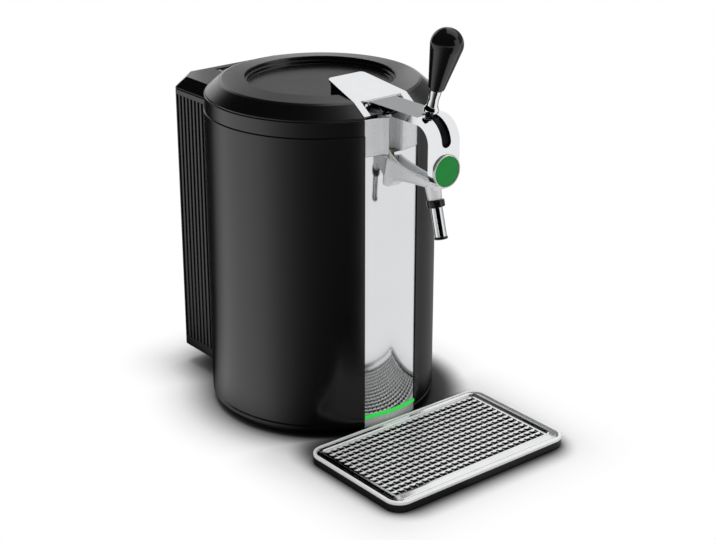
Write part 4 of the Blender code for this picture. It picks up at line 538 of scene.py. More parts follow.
def makeBarRow():
    # Equal upright bars with rounded edges, one step apart: ribs and slats.
    tree, given, out = newTree(
        "barRow",
        [
            ("Count", "NodeSocketInt"), ("First", "NodeSocketVector"), ("Step", "NodeSocketVector"),
            ("Width", "NodeSocketFloat"), ("Depth", "NodeSocketFloat"), ("Length", "NodeSocketVector"),
            ("Turn", "NodeSocketVector"), ("Edge", "NodeSocketFloat"), ("Finish", "NodeSocketMaterial"),
        ],
    )
    line = addNode(tree, "GeometryNodeCurvePrimitiveLine", inputs={"End": given["Length"]}).outputs[0]
    flat = addNode(
        tree,
        "GeometryNodeCurvePrimitiveQuadrilateral",
        inputs={"Width": given["Width"], "Height": given["Depth"]},
    ).outputs[0]
    rounded = addNode(
        tree,
        "GeometryNodeFilletCurve",
        {"mode": "POLY"},
        {"Curve": flat, "Radius": given["Edge"], "Count": 5, "Limit Radius": True},
    ).outputs[0]
    bar = addNode(
        tree, "GeometryNodeCurveToMesh", inputs={"Curve": line, "Profile Curve": rounded, "Fill Caps": True}
    ).outputs[0]
    turned = addNode(
        tree, "GeometryNodeTransform", inputs={"Geometry": bar, "Rotation": given["Turn"]}
    ).outputs[0]
    points = addNode(
        tree,
        "GeometryNodeMeshLine",
        inputs={"Count": given["Count"], "Start Location": given["First"], "Offset": given["Step"]},
    ).outputs[0]
    placed = addNode(
        tree, "GeometryNodeInstanceOnPoints", inputs={"Points": points, "Instance": turned}
    ).outputs[0]
    return endTree(tree, out, placed, given["Finish"])


copyGrid = makeCopyGrid()
barRow = makeBarRow()
# The gap between seated pieces, and heights under and over everything, where cutters start and end.
seat = 0.3
under, over = -100.0, 500.0
print("helpers ready")


# Drum casing, collar band and keg well

drum = {
    "edge": 5.0, "wall": 2.5, "flange": 21.0, "opening": 35.0, "lip": 0.7, "windowHalf": (50.0, 110.0),
    "seam": 5.4, "seamWidth": 2.0, "seamDepth": 0.8,
}


def drumRoom():
    # Clears the drum from a piece behind it.
    radius = nodeBox("drum_casing")[1].x + seat
    return rod("drumRoom", (0, 0, under), (0, 0, over), radius, steps=216)


def makeDrum():
    low, high = nodeBox("drum_casing")
    radius = high.x
    inner = radius - drum["wall"]
    floor = low.z + drum["wall"]
    seamLow = low.z + drum["seam"]
    seamHigh = seamLow + drum["seamWidth"]
    profile = filleted(
        [
            (radius, high.z, drum["lip"]),
            (radius, seamHigh, 0.3),
            (radius - drum["seamDepth"], seamHigh - 0.2),
            (radius, seamLow, 0.3),
            (radius, low.z, drum["edge"]),
            (radius - drum["flange"], low.z),
            (radius - drum["flange"], floor),
            (inner, floor, drum["edge"] / 2),
            (inner, high.z),
        ],
        steps=8,
    )
    opening = math.degrees(math.asin(drum["opening"] / radius))
    shell = lathe("drumShell", profile, 200, (opening, 360 - opening))
    sinkLow, sinkHigh = nodeBox("heat_sink")
    middle = (sinkLow.z + sinkHigh.z) / 2
    halfWidth, halfHeight = drum["windowHalf"]
    start = (-halfWidth, radius * 0.8, middle - halfHeight)
    end = (halfWidth, radius + 10, middle + halfHeight)
    combine(shell, [block("window", start, end)])
    finishPiece(shell, "cooler", "black_moulding", ["drum_casing"])


collar = {
    "ledge": 96.0, "seat": 106.0, "seatDrop": 3.0, "edge": 0.9, "notch": 35.0, "notchDepth": 108.0,
    "lineHalf": 8.8, "lineDepth": 86.0, "tongueHalf": 26.5,
}


def makeCollar():
    low, high = nodeBox("top_collar")
    radius = high.x
    profile = filleted(
        [
            (radius, high.z, collar["edge"]),
            (radius, low.z, 0.5),
            (collar["ledge"], low.z),
            (collar["ledge"], high.z - collar["seatDrop"], 0.4),
            (collar["seat"], high.z - collar["seatDrop"], 0.4),
            (collar["seat"] + 1, high.z, 0.6),
        ]
    )
    band = lathe("collarBand", profile, 216)
    notch, line, flap = collar["notch"], collar["lineHalf"], collar["tongueHalf"]
    depth = collar["lineDepth"]
    cutters = [
        block("front", (-notch, -radius - 10, under), (notch, -collar["notchDepth"], over)),
        block("line", (-line, -radius, under), (line, -depth, over)),
        block("tongue", (-flap, depth, hingeLine["z"] + 0.1), (flap, radius + 10, over)),
    ]
    combine(band, cutters)
    finishPiece(band, "cooler", "black_moulding", ["top_collar"])


hingeLow, hingeHigh = nodeBox("hinge_pin")
hingeLine = {
    "y": (hingeLow.y + hingeHigh.y) / 2, "z": (hingeLow.z + hingeHigh.z) / 2, "barrel": 5.2, "half": 26.0,
    "bore": 2.4,
}


def hingeRod(name, half, radius):
    y, z = hingeLine["y"], hingeLine["z"]
    return rod(name, (-half, y, z), (half, y, z), radius)


well = {"radius": 88.0, "wall": 1.5, "corner": 6.0, "rim": 1.6}


def makeWell():
    low, high = nodeBox("keg_well")
    inner = well["radius"]
    outer = inner + well["wall"]
    profile = filleted(
        [
            (0, low.z + well["wall"]),
            (inner, low.z + well["wall"], well["corner"]),
            (inner, high.z, 0.8),
            (high.x, high.z, 0.3),
            (high.x, high.z - well["rim"]),
            (outer, high.z - well["rim"]),
            (outer, low.z, well["corner"] + 1),
            (0, low.z),
        ],
        closed=False,
        steps=8,
    )
    finishPiece(lathe("kegWell", profile, 160), "cooler", "well_aluminium", ["keg_well"])


makeDrum()
makeCollar()
makeWell()
print("drum, collar and well built")


# Lid with its wedge, hinge tongue and liner

lid = {
    "radius": 123.0, "bevel": 15.8, "ring": 28.2, "shoulder": 14.0, "crown": 2.4, "dish": 8.0, "skin": 2.6,
    "notchDepth": 100.5, "notchHalf": 34.8, "linerRadius": 113.4, "wedgeInset": 1.2, "wedgeReach": 0.8,
}
plate = {
    "rearHalf": 24.5, "frontHalf": 34.5, "rise": 11.4, "thickness": 2.2, "leg": 8.5, "corner": 6.0,
    "rearY": -43.0, "kneeY": -101.2, "front": -133.0,
}
lidLow = nodeBox("lid_gasket")[1].z
lidShoulder = lidLow + lid["shoulder"]
plateZ = lidShoulder


def plateSide(raiseTop, lowerBottom):
    toeY = -math.sqrt(lid["radius"] ** 2 - plate["frontHalf"] ** 2) + 0.6
    toeZ = lidLow + 0.4
    slope = plate["rise"] / (plate["rearY"] - plate["kneeY"])
    depth = plate["thickness"] + lowerBottom
    return filleted(
        [
            (plate["rearY"], plateZ + plate["rise"] + raiseTop),
            (plate["kneeY"], plateZ + raiseTop, 5.0 if raiseTop == 0 else 0),
            (toeY, toeZ + plate["thickness"] + raiseTop),
            (toeY + depth * 0.75, toeZ),
            (plate["kneeY"] + depth * 0.3, plateZ - depth + 0.3 * depth * slope, 3.0),
            (plate["rearY"], plateZ + plate["rise"] - depth),
        ]
    )


def platePlan(clearance):
    rearHalf = plate["rearHalf"] + clearance
    frontHalf = plate["frontHalf"] + clearance
    rear = plate["rearY"] + clearance
    corner = plate["corner"]
    return (
        [(-frontHalf, plate["front"]), (frontHalf, plate["front"]), (frontHalf, plate["kneeY"])]
        + arc((rearHalf - corner, rear - corner), corner, 10, 90, 12)
        + arc((-rearHalf + corner, rear - corner), corner, 90, 170, 12)
        + [(-frontHalf, plate["kneeY"])]
    )


tongue = {
    "rootHalf": 72.0, "neckHalf": 25.0, "thickness": 4.3, "front": 95.0, "shoulder": 12.0, "endGap": 6.5,
    "neck": 98.5, "web": (98.3, 103.5), "webDrop": 1.2,
}


def tongueOutline(clearance=0.0):
    root = tongue["rootHalf"] + clearance
    end = hingeLine["half"] + clearance
    rear = hingeLine["y"] - tongue["endGap"] + clearance
    front = tongue["front"]
    corner = front + tongue["shoulder"]
    return [(-root, front), (root, front), (root, corner), (end, rear), (-end, rear), (-root, corner)]


def makeLid():
    radius = lid["radius"]
    top = radius - lid["bevel"]
    dishRadius = top - lid["ring"]
    skin = lid["skin"]
    crown = lidShoulder + lid["crown"]
    dishZ = crown - lid["dish"]
    slope = lid["bevel"] / lid["shoulder"]
    bevelSkin = skin * math.hypot(1, slope)
    lipInner = lid["linerRadius"] + 0.4
    outside = filleted(
        [
            (0, dishZ),
            (dishRadius - 1.5, dishZ, 0.8),
            (dishRadius - 0.9, dishZ + 3.4, 0.6),
            (dishRadius + 0.9, dishZ + 3.8, 0.6),
            (dishRadius + 1.6, crown, 1.2),
            (top - 2, lidShoulder + 0.3, 4.0),
            (top + 1.4, lidShoulder - 0.9, 3.0),
            (radius - 0.5, lidLow + 1.3, 0.9),
            (radius - 0.4, lidLow),
            (lipInner, lidLow),
            (lipInner, lidLow + 2),
            (radius - bevelSkin - 2 * slope, lidLow + 2),
            (top - skin, lidShoulder - skin),
            (dishRadius + 3 + skin, crown - skin),
            (dishRadius + skin, dishZ - skin),
            (0, dishZ - skin),
        ],
        closed=False,
        steps=6,
    )
    shell = lathe("lidShell", outside, 216)
    wedgeBack = dishZ - skin / 2
    wedgeRear = plate["rearY"] - lid["wedgeInset"]
    wedgeFront = -lid["notchDepth"] + lid["wedgeReach"]
    side = [
        (wedgeRear, wedgeBack), (wedgeRear, plateZ + plate["rise"] - 1), (wedgeFront, plateZ - 1),
        (wedgeFront, wedgeBack),
    ]
    wedge = extrude("wedge", [side], -plate["frontHalf"], plate["frontHalf"], "side")
    combine(wedge, [extrude("wedgePlan", [platePlan(-lid["wedgeInset"])], under, over)], "INTERSECT")
    neckHigh = hingeLine["z"] + hingeLine["barrel"]
    neckLow = neckHigh - tongue["thickness"]
    flap = extrude("tongue", [tongueOutline()], neckLow, neckHigh)
    combine(flap, [drumRoom()])
    half = tongue["neckHalf"]
    webFront, webRear = tongue["web"]
    parts = [
        block("neck", (-half, tongue["neck"], neckLow), (half, hingeLine["y"] - 1.5, neckHigh)),
        block("web", (-half, webFront, neckLow + 0.2), (half, webRear, lidShoulder - tongue["webDrop"])),
        hingeRod("barrel", hingeLine["half"], hingeLine["barrel"]),
    ]
    combine(flap, parts, "UNION")
    combine(shell, [wedge, flap], "UNION")
    room = extrude("plateRoom", [plateSide(30, seat)], -50, 50, "side")
    combine(room, [extrude("plateRoomPlan", [platePlan(seat)], under, over)], "INTERSECT")
    notch = lid["notchHalf"]
    cutters = [
        room,
        block("notch", (-notch, -radius - 27, under), (notch, -lid["notchDepth"], over)),
        hingeRod("bore", hingeLine["half"] + 4, hingeLine["bore"]),
    ]
    combine(shell, cutters)
    soften(shell, 0.35, 2, 42)
    finishPiece(shell, "lid", "black_moulding", ["lid_shell"], 30)


liner = {"field": 70.0, "recess": 0.5, "tongueHalf": 26.0, "tongueFront": 97.2, "gasket": 6.0}


def makeLiner():
    low, high = nodeBox("lid_liner")
    recess = low.z + liner["recess"]
    profile = filleted(
        [
            (0, high.z), (high.x, high.z), (high.x, low.z, 0.5), (liner["field"], low.z),
            (liner["field"] - 0.6, recess), (0, recess),
        ],
        closed=False,
    )
    disc = lathe("lidLiner", profile, 160)
    flap = liner["tongueHalf"]
    combine(disc, [block("liner", (-flap, liner["tongueFront"], under), (flap, over, over))])
    finishPiece(disc, "lid", "grey_moulding", ["lid_liner"])
    low, high = nodeBox("lid_gasket")
    outer, inner = high.x, high.x - liner["gasket"]
    profile = filleted(
        [(outer - 1, high.z, 0.4), (outer, low.z, 0.8), (inner, low.z, 0.8), (inner + 1, high.z, 0.4)]
    )
    ring = lathe("lidGasket", profile, 160)
    combine(ring, [block("gasket", (-flap, liner["field"], under), (flap, over, over))])
    finishPiece(ring, "lid", "feet_rubber", ["lid_gasket"])


def makePlate():
    sheet = extrude("lidPlate", [plateSide(0, 0)], -50, 50, "side")
    combine(sheet, [extrude("platePlan", [platePlan(0)], under, over)], "INTERSECT")
    inner = plate["frontHalf"] - plate["leg"]
    combine(sheet, [block("legs", (-inner, plate["front"] - 10, under), (inner, plate["kneeY"] - 0.1, over))])
    soften(sheet, 0.5, 3, 40)
    finishPiece(sheet, "lid", "tap_chrome", ["lid_plate"])


makeLid()
makeLiner()
makePlate()
print("lid built")


# Upper arm, badge and lever

arm = {
    "archY": -177.5, "archZ": 341.0, "radius": 25.5, "depth": 7.5, "skin": 2.2, "half": 17.5, "channel": 12.5,
    "start": -101.6, "flareHalf": 25.4, "flareLength": 9.0, "slotHalf": 6.0, "slotStart": 14.0,
    "slotEnd": 83.0, "badgeDrop": 26.7, "end": 19.0,
}
badgeZ = arm["archZ"] - arm["badgeDrop"]
armFace = arm["archY"] - arm["radius"]


def archArc(radius, start, end, steps):
    return arc((arm["archY"], arm["archZ"]), radius, 90 + start, 90 + end, steps)


def armSide(top, bottom, start, foot):
    outer = arm["radius"] - top
    inner = arm["radius"] - bottom
    points = [(start, arm["archZ"] + outer)] + archArc(outer, 0, 90, 40) + [(arm["archY"] - outer, foot)]
    points += [(arm["archY"] - inner, foot)] + archArc(inner, 90, 0, 40) + [(start, arm["archZ"] + inner)]
    return points


def makeArm():
    bar = extrude("tapArm", [armSide(0, arm["depth"], arm["start"], badgeZ - arm["end"])], -45, 45, "side")
    flare = []
    for i in range(19):
        angle = math.radians(90 * i / 18)
        x = arm["half"] + (arm["flareHalf"] - arm["half"]) * (1 - math.sin(angle))
        flare.append((x, arm["start"] - arm["flareLength"] * (1 - math.cos(angle))))
    far = armFace - 20
    plan = [(arm["flareHalf"], 0.0)] + flare + [(arm["half"], far), (-arm["half"], far)]
    plan += [(-x, y) for x, y in reversed(flare)] + [(-arm["flareHalf"], 0.0)]
    face = [(60, badgeZ), (60, over), (-60, over), (-60, badgeZ)]
    face += arc((0, badgeZ), arm["half"], 180, 360, 40)
    moulds = [extrude("armPlan", [plan], under, over), extrude("armFront", [face], -50, 300, "front")]
    combine(bar, moulds, "INTERSECT")
    channel = extrude(
        "armChannel",
        [armSide(arm["skin"], arm["depth"] + 4, arm["start"] - 3, badgeZ + 10)],
        -arm["channel"],
        arm["channel"],
        "side",
    )
    side = archArc(arm["radius"] + 4, -arm["slotStart"], arm["slotEnd"], 40)
    side += archArc(arm["radius"] - arm["skin"] - 1, -arm["slotStart"], arm["slotEnd"], 40)[::-1]
    slot = extrude("armSlot", [side], -arm["slotHalf"], arm["slotHalf"], "side")
    slotLow = arm["archZ"] + arm["radius"] * math.cos(math.radians(arm["slotEnd"]))
    slotRear = armFace + arm["skin"] + 2
    slotEnd = rod("slotEnd", (0, armFace - 4, slotLow), (0, slotRear, slotLow), arm["slotHalf"] - 0.02)
    combine(bar, [channel, slot, slotEnd])
    soften(bar, 0.8, 3, 40)
    finishPiece(bar, "lid", "tap_chrome", ["tap_arm"])


badge = {"ring": 17.2, "bore": 15.8, "disc": 15.5, "rise": 2.0, "side": 1.0, "crown": 0.4}


def makeBadge():
    face = Matrix.Translation((0, armFace - seat, badgeZ)) @ Matrix.Rotation(math.radians(90), 4, "X")
    outer, bore, rise = badge["ring"], badge["bore"], badge["rise"]
    ring = lathe("badgeRing", filleted([(outer, 0), (outer, rise, 0.9), (bore, rise, 0.5), (bore, 0)]), 96)
    ring.data.transform(face)
    finishPiece(ring, "lid", "pale_trim", ["badge_ring"])
    dome = []
    for i in range(11):
        angle = math.radians(9 * i)
        dome.append((badge["disc"] * math.sin(angle), badge["side"] + badge["crown"] * math.cos(angle)))
    disc = lathe("badgeDisc", dome + [(badge["disc"], 0), (0, 0)], 96)
    disc.data.transform(face)
    finishPiece(disc, "lid", "badge_green", ["badge"])


lever = {
    "tilt": 16.8, "offset": 24.5, "shank": 29.5, "grip": 66.0, "gripRadius": 16.5, "gripFoot": 8.2,
    "carriage": 2.9, "carriageHalf": 12.0, "carriageSpan": (-14, 98), "play": 0.4,
}


def onLever(target, along):
    tilt = math.radians(lever["tilt"])
    height = arm["archZ"] + lever["offset"] + along * math.cos(tilt)
    place = Matrix.Translation((0, arm["archY"] - along * math.sin(tilt), height))
    target.data.transform(place @ Matrix.Rotation(tilt, 4, "X"))


def makeCarriage(outer):
    span = lever["carriageSpan"]
    band = archArc(outer, *span, 48) + archArc(outer - lever["carriage"], *span, 48)[::-1]
    carriage = extrude("leverCarriage", [band], -lever["carriageHalf"], lever["carriageHalf"], "side")
    soften(carriage, 0.3, 2)
    # The carriage behind the slot takes the matte black of painted shade in place of its gloss black.
    finishPiece(carriage, "tap_lever", "black_gloss", ["lever_carriage"], finish="dullBlack")


def makeShank(outer):
    length = lever["shank"]
    profile = filleted(
        [
            (0, length), (6.0, length, 0.6), (6.0, length - 4, 1.5), (5.2, length * 0.62, 6),
            (5.8, length * 0.40, 5), (7.8, length * 0.26, 1.2), (7.8, length * 0.17, 1.2),
            (5.2, length * 0.14, 0.8), (5.2, -8), (0, -8),
        ],
        closed=False,
        steps=6,
    )
    shank = lathe("leverShank", profile, 72)
    onLever(shank, 0)
    arch = (arm["archY"], arm["archZ"])
    combine(shank, [rod("shankFoot", (-20, *arch), (20, *arch), outer + seat, steps=160)])
    finishPiece(shank, "tap_lever", "tap_chrome", ["lever_shank"])


def makeGrip():
    centre = lever["grip"] - lever["gripRadius"]
    lean = math.degrees(math.asin((lever["gripRadius"] - lever["gripFoot"]) / centre))
    ball = arc((0, centre), lever["gripRadius"], 90, -lean, 28)
    ball[0] = (0, lever["grip"])
    foot = filleted(
        [ball[-1], (lever["gripFoot"], 1.5, 2), (lever["gripFoot"] - 1.4, 0, 0.8), (0, 0)], closed=False
    )
    grip = lathe("leverGrip", ball[:-1] + foot, 96)
    onLever(grip, lever["shank"] + seat)
    finishPiece(grip, "tap_lever", "black_gloss", ["lever_grip"])


carriageRadius = arm["radius"] - arm["skin"] - lever["play"]
makeArm()
makeBadge()
makeCarriage(carriageRadius)
makeShank(carriageRadius)
makeGrip()
print("arm and lever built")


# Front panel, light line and fascia

front = {
    "radius": 124.0, "half": 34.7, "sheet": 2.5, "nicheHalf": 8.0, "bead": 2.2, "niche": 112.0,
    "nicheCorner": 3.0, "edge": 0.35, "lineSlot": (-7.8, -1.0), "lineFoot": 327.3,
}


def frontArc(radius, low, high, steps=40):
    first = math.asin(low / radius)
    last = math.asin(high / radius)
    points = []
    for i in range(steps + 1):
        angle = first + (last - first) * i / steps
        points.append((radius * math.sin(angle), -radius * math.cos(angle)))
    return points


def makeBand(name, node, slotName, radius, thickness, edge, cutter=None, finish=None):
    low, high = nodeBox(node)
    outline = frontArc(radius, -front["half"], front["half"])
    outline += frontArc(radius - thickness, -front["half"], front["half"])[::-1]
    band = extrude(name, [outline], low.z, high.z)
    soften(band, edge, 2, 45)
    if cutter:
        combine(band, [block("bandCutter", *cutter)])
    finishPiece(band, "cooler", slotName, [node], finish=finish)


def makeFascia():
    low, high = nodeBox("upper_fascia")
    radius, bead, half = front["radius"], front["bead"], front["nicheHalf"]
    mouth = half + bead * 2
    cheek = half + front["sheet"]
    back = -front["niche"] + front["sheet"]
    inner = radius - front["sheet"]
    beadArcs = []
    for side in (-1, 1):
        x = side * (half + bead)
        beadArcs.append(arc((x, -math.sqrt(radius**2 - x * x)), bead, 180, 360, 20))
    corner = front["nicheCorner"]
    outline = frontArc(radius, -front["half"], -mouth, 16)[:-1] + beadArcs[0]
    outline += arc((-half + corner, -front["niche"] - corner), corner, 180, 90, 8)
    outline += arc((half - corner, -front["niche"] - corner), corner, 90, 0, 8)
    outline += beadArcs[1] + frontArc(radius, mouth, front["half"], 16)[1:]
    outline += frontArc(inner, cheek, front["half"], 16)[::-1] + [(cheek, back), (-cheek, back)]
    outline += frontArc(inner, -front["half"], -cheek, 16)[::-1]
    band = extrude("upperFascia", [outline], low.z, high.z)
    soften(band, front["edge"], 2, 60)
    left, right = front["lineSlot"]
    start = (left, -front["niche"] - 0.8, front["lineFoot"])
    combine(band, [block("lineSlot", start, (right, back + 0.8, over))])
    # The fascia takes the pale painted sheen in place of the chrome's reflection.
    finishPiece(band, "cooler", "tap_chrome", ["upper_fascia"], finish="paintedSheenPlate")


panelSizes = (front["radius"], front["sheet"], front["edge"])
# Where the beer line passes through the panel's upper edge.
lineRoom = ((-7.8, -134.0, 305.3), (-0.1, -114.0, over))
makeBand("frontPanel", "front_panel", "panel_mirror", *panelSizes, lineRoom)
makeBand("lightGuide", "light_guide", "light_green", front["radius"] + 1.2, front["sheet"] + 1, 0.5)
# The panel foot takes the pale painted sheen in place of the mirror's reflection.
makeBand("panelFoot", "panel_foot", "panel_mirror", *panelSizes, finish="paintedSheenPlate")
makeFascia()
print("front built")


# Lower arm, spout and beer line

spout = {
    "y": -187.7, "z": 280.5, "tilt": 15.0, "bore": 3.1, "collar": (0.3, 7.5, 9.2), "tube": (7.8, 37.8, 6.2),
    "tip": (38.1, 40.5, 6.9), "funnelTop": 8.4, "funnelFoot": 7.2, "funnelLength": 16.0, "line": 2.6,
    "lineBore": 1.6,
}
cradle = {
    "rootY": -115.6, "tipY": -194.9, "half": 7.8, "tipTop": 301.0, "tipHeight": 8.5, "wall": 2.0,
    "swell": 2.5, "flare": 0.6, "sag": 10.0, "flareSag": 6.0, "rise": 11.5, "fade": 5.0,
}


def spoutPoint(along):
    tilt = math.radians(spout["tilt"])
    return (0, spout["y"] - along * math.sin(tilt), spout["z"] - along * math.cos(tilt))


def alongSpout(target):
    down = Vector(spoutPoint(1)) - Vector(spoutPoint(0))
    turn = down.to_track_quat("Z", "Y").to_matrix().to_4x4()
    target.data.transform(Matrix.Translation(spoutPoint(0)) @ turn)


def beerLineRoute():
    side = -4.4
    return [
        (side, -63.4, 342.5), (side, -79.2, 345.1), (side, -97.1, 345.1), (side, -106.1, 343.6),
        (side, -112.1, 339.1), (side, -115.1, 332.1), (side, -115.1, 322.3), (side, -118.6, 314.8),
        (side * 0.8, -126.1, 307.8), (side * 0.4, -137.3, 301.1), (0, -151.7, 298.1), (0, -169.7, 297.6),
        (0, -179.2, 296.6), spoutPoint(-10.5), spoutPoint(-4), spoutPoint(39.7),
    ]


def cradleShape(share):
    y = cradle["rootY"] + (cradle["tipY"] - cradle["rootY"]) * share
    away = max(0.0, -front["radius"] - y)
    flare = math.exp(-away / cradle["fade"])
    slope = (1 - share) ** 2
    half = cradle["half"] + cradle["swell"] * slope
    bottom = cradle["tipTop"] - cradle["tipHeight"] - cradle["sag"] * slope - cradle["flareSag"] * flare
    top = cradle["tipTop"] + cradle["rise"] * slope
    return y, half, bottom, top, cradle["flare"] * flare


def makeCradle():
    outside, channel = [], []
    count = 44
    for i in range(count + 1):
        share = (i / count) ** 1.5
        y, half, bottom, top, spread = cradleShape(share)
        radius = min(2.8 + (half - cradle["half"]) * 2.2, half - 0.5)
        corners = [(half, top, 1.0), (-half, top, 1.0), (-half, bottom, radius), (half, bottom, radius)]
        ring = filleted(corners, steps=8)
        outside.append([(x * (1 + spread * (top - z) / (top - bottom)), y, z) for x, z in ring])
        inner = cradle["half"] - cradle["wall"]
        floor = top - cradle["tipHeight"] + cradle["wall"]
        channelY = min(y, cradle["rootY"] - 0.8)
        channelY = max(channelY, cradle["tipY"] + cradle["wall"])
        corners = [(inner, top + 10), (-inner, top + 10), (-inner, floor, 2), (inner, floor, 2)]
        ring = filleted(corners, steps=6)
        if not channel or channel[-1][0][1] - channelY > 0.01:
            channel.append([(x, channelY, z) for x, z in ring])
    body = loft("tapCradle", outside)
    start = -spout["funnelLength"]
    side = [(0, start), (spout["funnelTop"], start, 1.5), (spout["funnelFoot"], 0, 0.5), (0, 0)]
    funnel = lathe("funnel", filleted(side, closed=False), 72)
    alongSpout(funnel)
    combine(body, [funnel], "UNION")
    cutters = [
        loft("cradleChannel", channel),
        tube("cradleLine", smoothPath(beerLineRoute()), spout["bore"]),
        rod("cradleRoot", (0, 0, under), (0, 0, over), front["radius"] + seat, steps=216),
    ]
    combine(body, cutters)
    # The cradle takes the pale painted sheen in place of the chrome's reflection.
    finishPiece(body, "cooler", "tap_chrome", ["tap_cradle"], 40, "paintedSheenPlate")


def makeSpout():
    for name, node, key, slotName, edge in (
        ("nozzleCollar", "nozzle_collar", "collar", "black_gloss", 0.8),
        ("spoutTube", "spout_tube", "tube", "tap_chrome", 0.3),
        ("spoutTip", "spout_tip", "tip", "black_gloss", 0.6),
    ):
        start, end, radius = spout[key]
        bore = spout["bore"]
        profile = filleted([(radius, start, edge), (radius, end, edge), (bore, end, 0.3), (bore, start)])
        ring = lathe(name, profile, 96)
        alongSpout(ring)
        finishPiece(ring, "cooler", slotName, [node])
    path = smoothPath(beerLineRoute())
    line = tube("beerLine", path, spout["line"], 20)
    first = path[0] + (path[0] - path[1]).normalized() * 4
    last = path[-1] + (path[-1] - path[-2]).normalized() * 4
    combine(line, [tube("beerLineBore", [first] + path[1:-1] + [last], spout["lineBore"], 12)])
    finishPiece(line, "cooler", "line_plastic", ["beer_line"])


makeCradle()
makeSpout()
print("spout built")


# Rear housing, its cover and grille

housing = {
    "half": 83.0, "corner": 8.0, "front": 82.5, "wall": 4.0, "deck": 6.0, "ribPitch": 7.0, "ribWidth": 3.8,
    "ribDepth": 2.0, "ribCount": 9, "ribEnd": 12.0, "edge": 1.0,
}

screws = {"halfX": 66.0, "halfZ": 114.0, "radius": 3.2, "room": 0.5, "sunk": 2.6}


def housingOutline(half, rear, corner, frontY):
    return [
        (-half, frontY), (half, frontY), (half, rear - corner), (half - corner, rear),
        (-half + corner, rear), (-half, rear - corner),
    ]


def makeRearScrews(rear, middle):
    radius = screws["radius"]
    profile = [(0, 0), (1.8, -0.1), (2.9, -0.5), (radius, -1.0), (radius, -2), (0, -2)]
    head = lathe("screwHead", profile, 40)
    slots = [block("slot", (-x, -y, -0.9), (x, y, 1)) for x, y in ((2.1, 0.4), (0.4, 2.1))]
    combine(head, slots)
    heads = grow(
        "rearScrews",
        copyGrid,
        {
            "Cell": head, "Columns": 2, "Rows": 2, "Width": 2 * screws["halfX"], "Depth": 2 * screws["halfZ"],
            "Centre": (0, 0, 0), "Finish": finishes["hingeSteel"],
        },
    )
    bpy.data.objects.remove(head)
    facing = Matrix.Rotation(math.radians(-90), 4, "X")
    heads.data.transform(Matrix.Translation((0, rear - 0.5, middle)) @ facing)
    finishPiece(heads, "cooler", "hinge_steel")


def makeHousing():
    low, high = nodeBox("rear_housing")
    half, rear = housing["half"], high.y
    outline = housingOutline(half, rear, housing["corner"], housing["front"])
    shell = extrude("rearHousing", [outline], low.z, high.z)
    soften(shell, housing["edge"], 3, 30)
    wall = housing["wall"]
    inside = housingOutline(half - wall, rear - wall, housing["corner"], housing["front"] - 10)
    grilleLow, grilleHigh = nodeBox("rear_grille")
    cutters = [
        drumRoom(),
        extrude("housingRoom", [inside], low.z + wall, high.z - housing["deck"]),
    ]
    for node in ("rear_grille", "power_inlet", "switch_frame"):
        nodeLow, nodeHigh = nodeBox(node)
        cutters.append(
            block(
                "housingOpening",
                (nodeLow.x - seat, rear - wall - 2, nodeLow.z - seat),
                (nodeHigh.x + seat, rear + 2, nodeHigh.z + seat),
            )
        )
    firstRib = rear - housing["corner"] - housing["ribPitch"]
    grooveHalf = (housing["ribPitch"] - housing["ribWidth"]) / 2
    lastGroove = rear - housing["corner"] - housing["ribPitch"] * (housing["ribCount"] - 0.5)
    for side in (-1, 1):
        edges = sorted((side * (half - housing["ribDepth"]), side * (half + 2)))
        cutters.append(
            block(
                "ribField",
                (edges[0], lastGroove - grooveHalf, low.z + housing["ribEnd"]),
                (edges[1], firstRib + housing["ribPitch"] / 2 + grooveHalf, high.z - 6),
            )
        )
    screwZ = (grilleLow.z + grilleHigh.z) / 2
    for x in (-screws["halfX"], screws["halfX"]):
        for z in (screwZ - screws["halfZ"], screwZ + screws["halfZ"]):
            start, end = (x, rear - screws["sunk"], z), (x, rear + 2, z)
            cutters.append(rod("screwRoom", start, end, screws["radius"] + screws["room"], steps=32))
    combine(shell, cutters)
    finishPiece(shell, "cooler", "black_moulding", ["rear_housing"])
    makeRearScrews(rear, screwZ)
    for side, name in ((-1, "leftRibs"), (1, "rightRibs")):
        ribX = side * (half - housing["ribDepth"] / 2 - 0.25)
        ribs = grow(
            name,
            barRow,
            {
                "Count": housing["ribCount"] - 1,
                "First": (ribX, firstRib, low.z + housing["ribEnd"] - 0.2),
                "Step": (0, -housing["ribPitch"], 0),
                "Width": housing["ribDepth"] + 0.5,
                "Depth": housing["ribWidth"],
                "Length": (0, 0, high.z - low.z - housing["ribEnd"] - 5.6),
                "Turn": (0, 0, 0),
                "Edge": 0.9,
                "Finish": finishes["blackMoulding"],
            },
        )
        finishPiece(ribs, "cooler", "black_moulding")


topCover = {
    "bevel": 8.5, "rearBevel": 2.0, "edge": 1.5, "tongueRoom": 0.8, "earRoom": 5.6, "hingeFront": 9.0,
    "hingeRear": 7.5,
}


def makeCover():
    low, high = nodeBox("rear_top_cover")
    half, rear, corner, bevel = housing["half"], high.y, housing["corner"], topCover["bevel"]
    lower = housingOutline(half, rear, corner, housing["front"])
    upper = housingOutline(half - bevel, rear - topCover["rearBevel"], corner + bevel, housing["front"])
    rings = [
        [(x, y, low.z) for x, y in lower],
        [(x, y, low.z + topCover["edge"]) for x, y in lower],
        [(x, y, high.z) for x, y in upper],
    ]
    cover = loft("rearCover", rings)
    soften(cover, 0.7, 3, 20)
    ears = hingeLine["half"] + topCover["earRoom"]
    cutters = [
        drumRoom(),
        extrude("coverTongue", [tongueOutline(topCover["tongueRoom"])], hingeLine["z"] + 0.1, high.z + 10),
        block(
            "coverHinge",
            (-ears, hingeLine["y"] - topCover["hingeFront"], low.z - 2),
            (ears, hingeLine["y"] + topCover["hingeRear"], high.z + 10),
        ),
    ]
    combine(cover, cutters)
    finishPiece(cover, "cooler", "black_moulding", ["rear_top_cover"])


grille = {"border": 7.0, "slats": 14, "slot": 7.0, "margin": 5.0}


